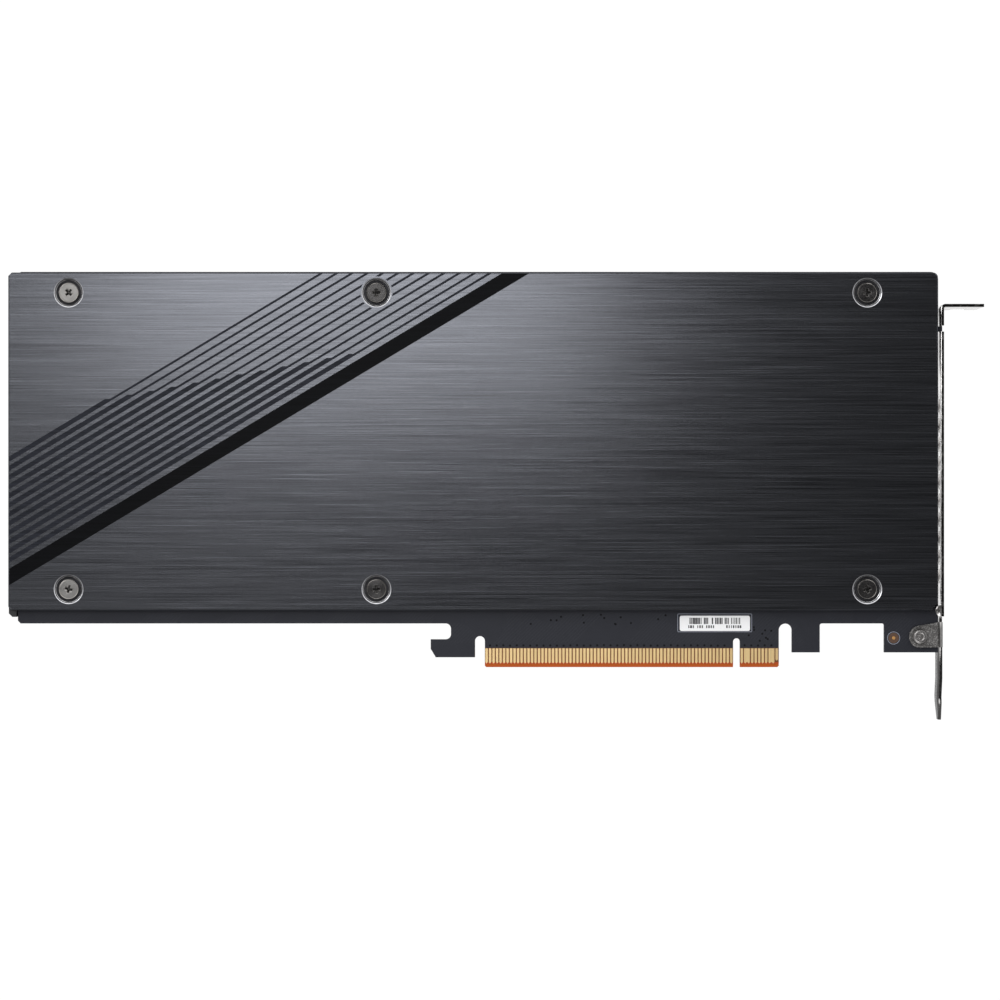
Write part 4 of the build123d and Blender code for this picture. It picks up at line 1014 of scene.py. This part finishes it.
# %% Bars on the label
def build_bars_tree():
    """Upright bars along X with seeded widths, some of them left out."""
    tree, given, result = new_group(
        "Bars", "GeometryNodeTree",
        [
            ("Geometry", "NodeSocketGeometry", None),
            ("Start", "NodeSocketVector", None),
            ("Pitch", "NodeSocketFloat", 0.0),
            ("Count", "NodeSocketInt", 10),
            ("Height", "NodeSocketFloat", 0.0),
            ("Thickness", "NodeSocketFloat", 0.0),
            ("Seed", "NodeSocketInt", 0),
            ("Finish", "NodeSocketMaterial", None),
        ],
        [("Geometry", "NodeSocketGeometry")],
    )
    step = add_node(tree, "ShaderNodeCombineXYZ", None, {"X": given.outputs["Pitch"]})
    line = add_node(tree, "GeometryNodeMeshLine", {"mode": "OFFSET"},
                    {"Count": given.outputs["Count"], "Start Location": given.outputs["Start"],
                     "Offset": step.outputs[0]})
    keep = add_node(tree, "FunctionNodeRandomValue", {"data_type": "BOOLEAN"},
                    {"Probability": 0.72, "Seed": given.outputs["Seed"]})
    wide = add_node(tree, "FunctionNodeRandomValue", {"data_type": "FLOAT"},
                    {"Min": 0.3, "Max": 0.95, "Seed": given.outputs["Seed"]})
    width = add_node(tree, "ShaderNodeMath", {"operation": "MULTIPLY"},
                     {0: wide.outputs[1], 1: given.outputs["Pitch"]})
    size = add_node(tree, "ShaderNodeCombineXYZ", None,
                    {"X": width.outputs[0], "Y": given.outputs["Height"], "Z": given.outputs["Thickness"]})
    block = add_node(tree, "GeometryNodeMeshCube", None, {"Size": (1, 1, 1)})
    bars = add_node(tree, "GeometryNodeInstanceOnPoints", None,
                    {"Points": line.outputs[0], "Selection": keep.outputs[3], "Instance": block.outputs[0],
                     "Scale": size.outputs[0]})
    real = add_node(tree, "GeometryNodeRealizeInstances", None, {0: bars.outputs[0]})
    finished = add_node(tree, "GeometryNodeSetMaterial", None,
                        {"Geometry": real.outputs[0], "Material": given.outputs["Finish"]})
    tree.links.new(finished.outputs[0], result.inputs[0])
    return tree


bar_black = grained("Label ink", colour(0.03, 0.03, 0.034), 0.0003, 0.1, 0.5, 0.05)
bars_tree = build_bars_tree()


def bar_row(name, first, last, count, middle, height, seed):
    """One row of bars on the label, between two distances from the label's left end."""
    carrier = new_object(name + " carrier", bpy.data.meshes.new("empty"))
    mesh = run_tree(carrier, bars_tree, {
        "Start": (label_low.x + first, middle, label_high.z + PRINT_T / 2), "Pitch": (last - first) / count,
        "Count": count, "Height": height, "Thickness": PRINT_T, "Seed": seed, "Finish": bar_black,
    })
    bpy.data.objects.remove(carrier)
    row = new_object(name, mesh)
    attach(row, "card")
    print(name, "has", len(mesh.polygons), "faces")


bar_row("label_bars", 2.95 * mm, 17.6 * mm, 32, label_high.y - 1.5 * mm, 1.8 * mm, 11)
bar_row("label_ticks", 2.6 * mm, 18.0 * mm, 24, label_high.y - 3.15 * mm, 0.8 * mm, 23)

# %% [markdown]
# ## The fiducial mark
# A camera on the assembly line finds the board by a small gilt dot in a clear round window. The window
# shows bare laminate, and a thin printed ring goes round it.

# %% Fiducial mark
FIDUCIAL = Vector((44.95 * mm, 8.35 * mm, 0))


def circle(radius, steps=32):
    """A circle round the fiducial's centre, as a list of places."""
    angles = [2 * math.pi * i / steps for i in range(steps)]
    return [(FIDUCIAL.x + radius * math.cos(a), FIDUCIAL.y + radius * math.sin(a)) for a in angles]


window_brown = grained("Clear window", colour(0.10, 0.055, 0.035), 0.0004, 0.1, 0.4, 0.1)
finish_piece("fiducial_window", flat_plate("window", circle(1.5 * mm), board_back, board_back + PRINT_T / 2),
             window_brown)
finish_piece("fiducial_ring", flat_ring("ring", circle(1.84 * mm), circle(1.67 * mm), board_back,
                                        board_back + PRINT_T), ink_grey)
bare_copper = brushed("Bare copper mark", colour(0.80, 0.44, 0.16), (400, 400, 400), 0.08, 0.42, 0.1, 0.1)
finish_piece("fiducial_dot", flat_plate("dot", circle(0.47 * mm), board_back, board_back + 0.05 * mm),
             bare_copper)

# %% [markdown]
# ## The camera
# A long lens about a metre away looks straight down on the middle of the card, so that no edge leans and
# every length on the card keeps one scale. The scale is known, because the contacts have a standard
# pitch: the lens is worked out from it and from the distance.

# %% Camera
IMAGE_PX = 1000
PX_PER_MM = 3.495
CAMERA_PLACE = Vector((-67.67, 47.83, 1050.8)) * mm


def make_camera():
    """A long lens that looks straight down on the card's middle."""
    data = bpy.data.cameras.new("camera")
    made = bpy.data.objects.new("camera", data)
    bpy.context.scene.collection.objects.link(made)
    made.location = CAMERA_PLACE
    view_width = IMAGE_PX / PX_PER_MM * mm
    data.sensor_width = 36
    data.lens = data.sensor_width * (CAMERA_PLACE.z - board_back) / view_width
    data.clip_start, data.clip_end = 0.01, 20
    bpy.context.scene.camera = made
    print("Lens", round(data.lens, 1), "mm")


make_camera()

# %% [markdown]
# ## Light and surroundings
# The photograph has a clean white ground. White light on everything would flatten a dark card, so only
# the surroundings that the camera and the metal see are white. A large softbox over the left half gives
# the plate its broad sheen, and the ceiling right above stays dim, which leaves the right end dark.

# %% World
def build_world():
    """White for the camera; for light and reflections bright at the horizon and dim overhead."""
    world = bpy.data.worlds.new("studio")
    world.use_nodes = True
    tree = world.node_tree
    tree.nodes.clear()
    direction = add_node(tree, "ShaderNodeTexCoord").outputs["Generated"]
    split = add_node(tree, "ShaderNodeSeparateXYZ", None, {0: direction})
    ramp = add_node(tree, "ShaderNodeMapRange", {"interpolation_type": "SMOOTHSTEP"},
                    {"Value": split.outputs[2], "From Min": 0.5, "From Max": 0.93, "To Min": 1.6, "To Max": 0.11})
    back = calculate(tree, "MULTIPLY_ADD", split.outputs[1], 0.5, 0.62)
    strength = calculate(tree, "MULTIPLY", ramp.outputs[0], back)
    path = add_node(tree, "ShaderNodeLightPath")
    studio = add_node(tree, "ShaderNodeBackground", None, {"Color": colour(1, 1, 1), "Strength": strength})
    white = add_node(tree, "ShaderNodeBackground", None, {"Color": colour(1, 1, 1), "Strength": 1.0})
    mix = add_node(tree, "ShaderNodeMixShader", None,
                   {0: path.outputs["Is Camera Ray"], 1: studio.outputs[0], 2: white.outputs[0]})
    output = add_node(tree, "ShaderNodeOutputWorld")
    tree.links.new(mix.outputs[0], output.inputs["Surface"])
    bpy.context.scene.world = world


def softbox(name, place, target, size, radiance):
    """A rectangular lamp that shines from a place to a target with an even brightness."""
    data = bpy.data.lights.new(name, "AREA")
    data.shape = "RECTANGLE"
    data.size, data.size_y = size
    data.energy = radiance * 4 * size[0] * size[1]
    made = bpy.data.objects.new(name, data)
    bpy.context.scene.collection.objects.link(made)
    made.location = place
    made.rotation_euler = (Vector(target) - Vector(place)).to_track_quat("-Z", "Y").to_euler()
    made.visible_camera = False
    print(name, round(data.energy, 2), "W")


build_world()
softbox("key", (-0.1335, 0.218, 0.5), (-0.1335, 0.218, 0), (0.203, 0.25), 3.1)
softbox("wide", (-0.242, 0.213, 0.5), (-0.242, 0.213, 0), (0.44, 0.26), 0.6)
softbox("low", (-0.3, 0.003, 0.5), (-0.3, 0.003, 0), (0.34, 0.18), 0.2)
softbox("side", (-1.0, 0.6, 0.45), (-0.07, 0.06, 0), (0.6, 0.5), 2.4)
softbox("front", (-0.035, -0.257, 0.5), (-0.035, 0.043, 0), (0.24, 0.24), 2.8)

# %% [markdown]
# ## The floor
# The card lies on a pale table. The table is white to the camera and to the metal that mirrors it, and it
# keeps a soft part of the card's shadow. From below it is clear, so the front can be seen.

# %% Floor
def build_floor():
    """A wide pale sheet just under the card."""
    bm = bmesh.new()
    bmesh.ops.create_grid(bm, x_segments=1, y_segments=1, size=3.0)
    mesh = finish_mesh(bm, "floor")
    mesh.transform(Matrix.Translation((0, 0, cad_low.z - 0.1 * mm)))
    floor = new_object("floor", mesh)
    material = bpy.data.materials.new("Table")
    material.use_nodes = True
    tree = material.node_tree
    tree.nodes.clear()
    path = add_node(tree, "ShaderNodeLightPath")
    side = add_node(tree, "ShaderNodeNewGeometry")
    matt = add_node(tree, "ShaderNodeBsdfDiffuse", None, {"Color": colour(0.8, 0.8, 0.8)})
    glow = add_node(tree, "ShaderNodeEmission", None, {"Color": colour(1, 1, 1), "Strength": 1.05})
    clear = add_node(tree, "ShaderNodeBsdfTransparent")
    seen = calculate(tree, "MAXIMUM", path.outputs["Is Camera Ray"], path.outputs["Is Glossy Ray"])
    seen = calculate(tree, "MAXIMUM", seen, path.outputs["Is Transmission Ray"])
    share = calculate(tree, "MULTIPLY", seen, 0.95)
    lit = add_node(tree, "ShaderNodeMixShader", None, {0: share, 1: matt.outputs[0], 2: glow.outputs[0]})
    top_only = add_node(tree, "ShaderNodeMixShader", None,
                        {0: side.outputs["Backfacing"], 1: lit.outputs[0], 2: clear.outputs[0]})
    output = add_node(tree, "ShaderNodeOutputMaterial")
    tree.links.new(top_only.outputs[0], output.inputs["Surface"])
    mesh.materials.append(material)


build_floor()

# %% [markdown]
# ## The view transform
# Colours are shown with the plain standard view transform.

# %% Standard view transform
bpy.context.scene.view_settings.view_transform = "Standard"
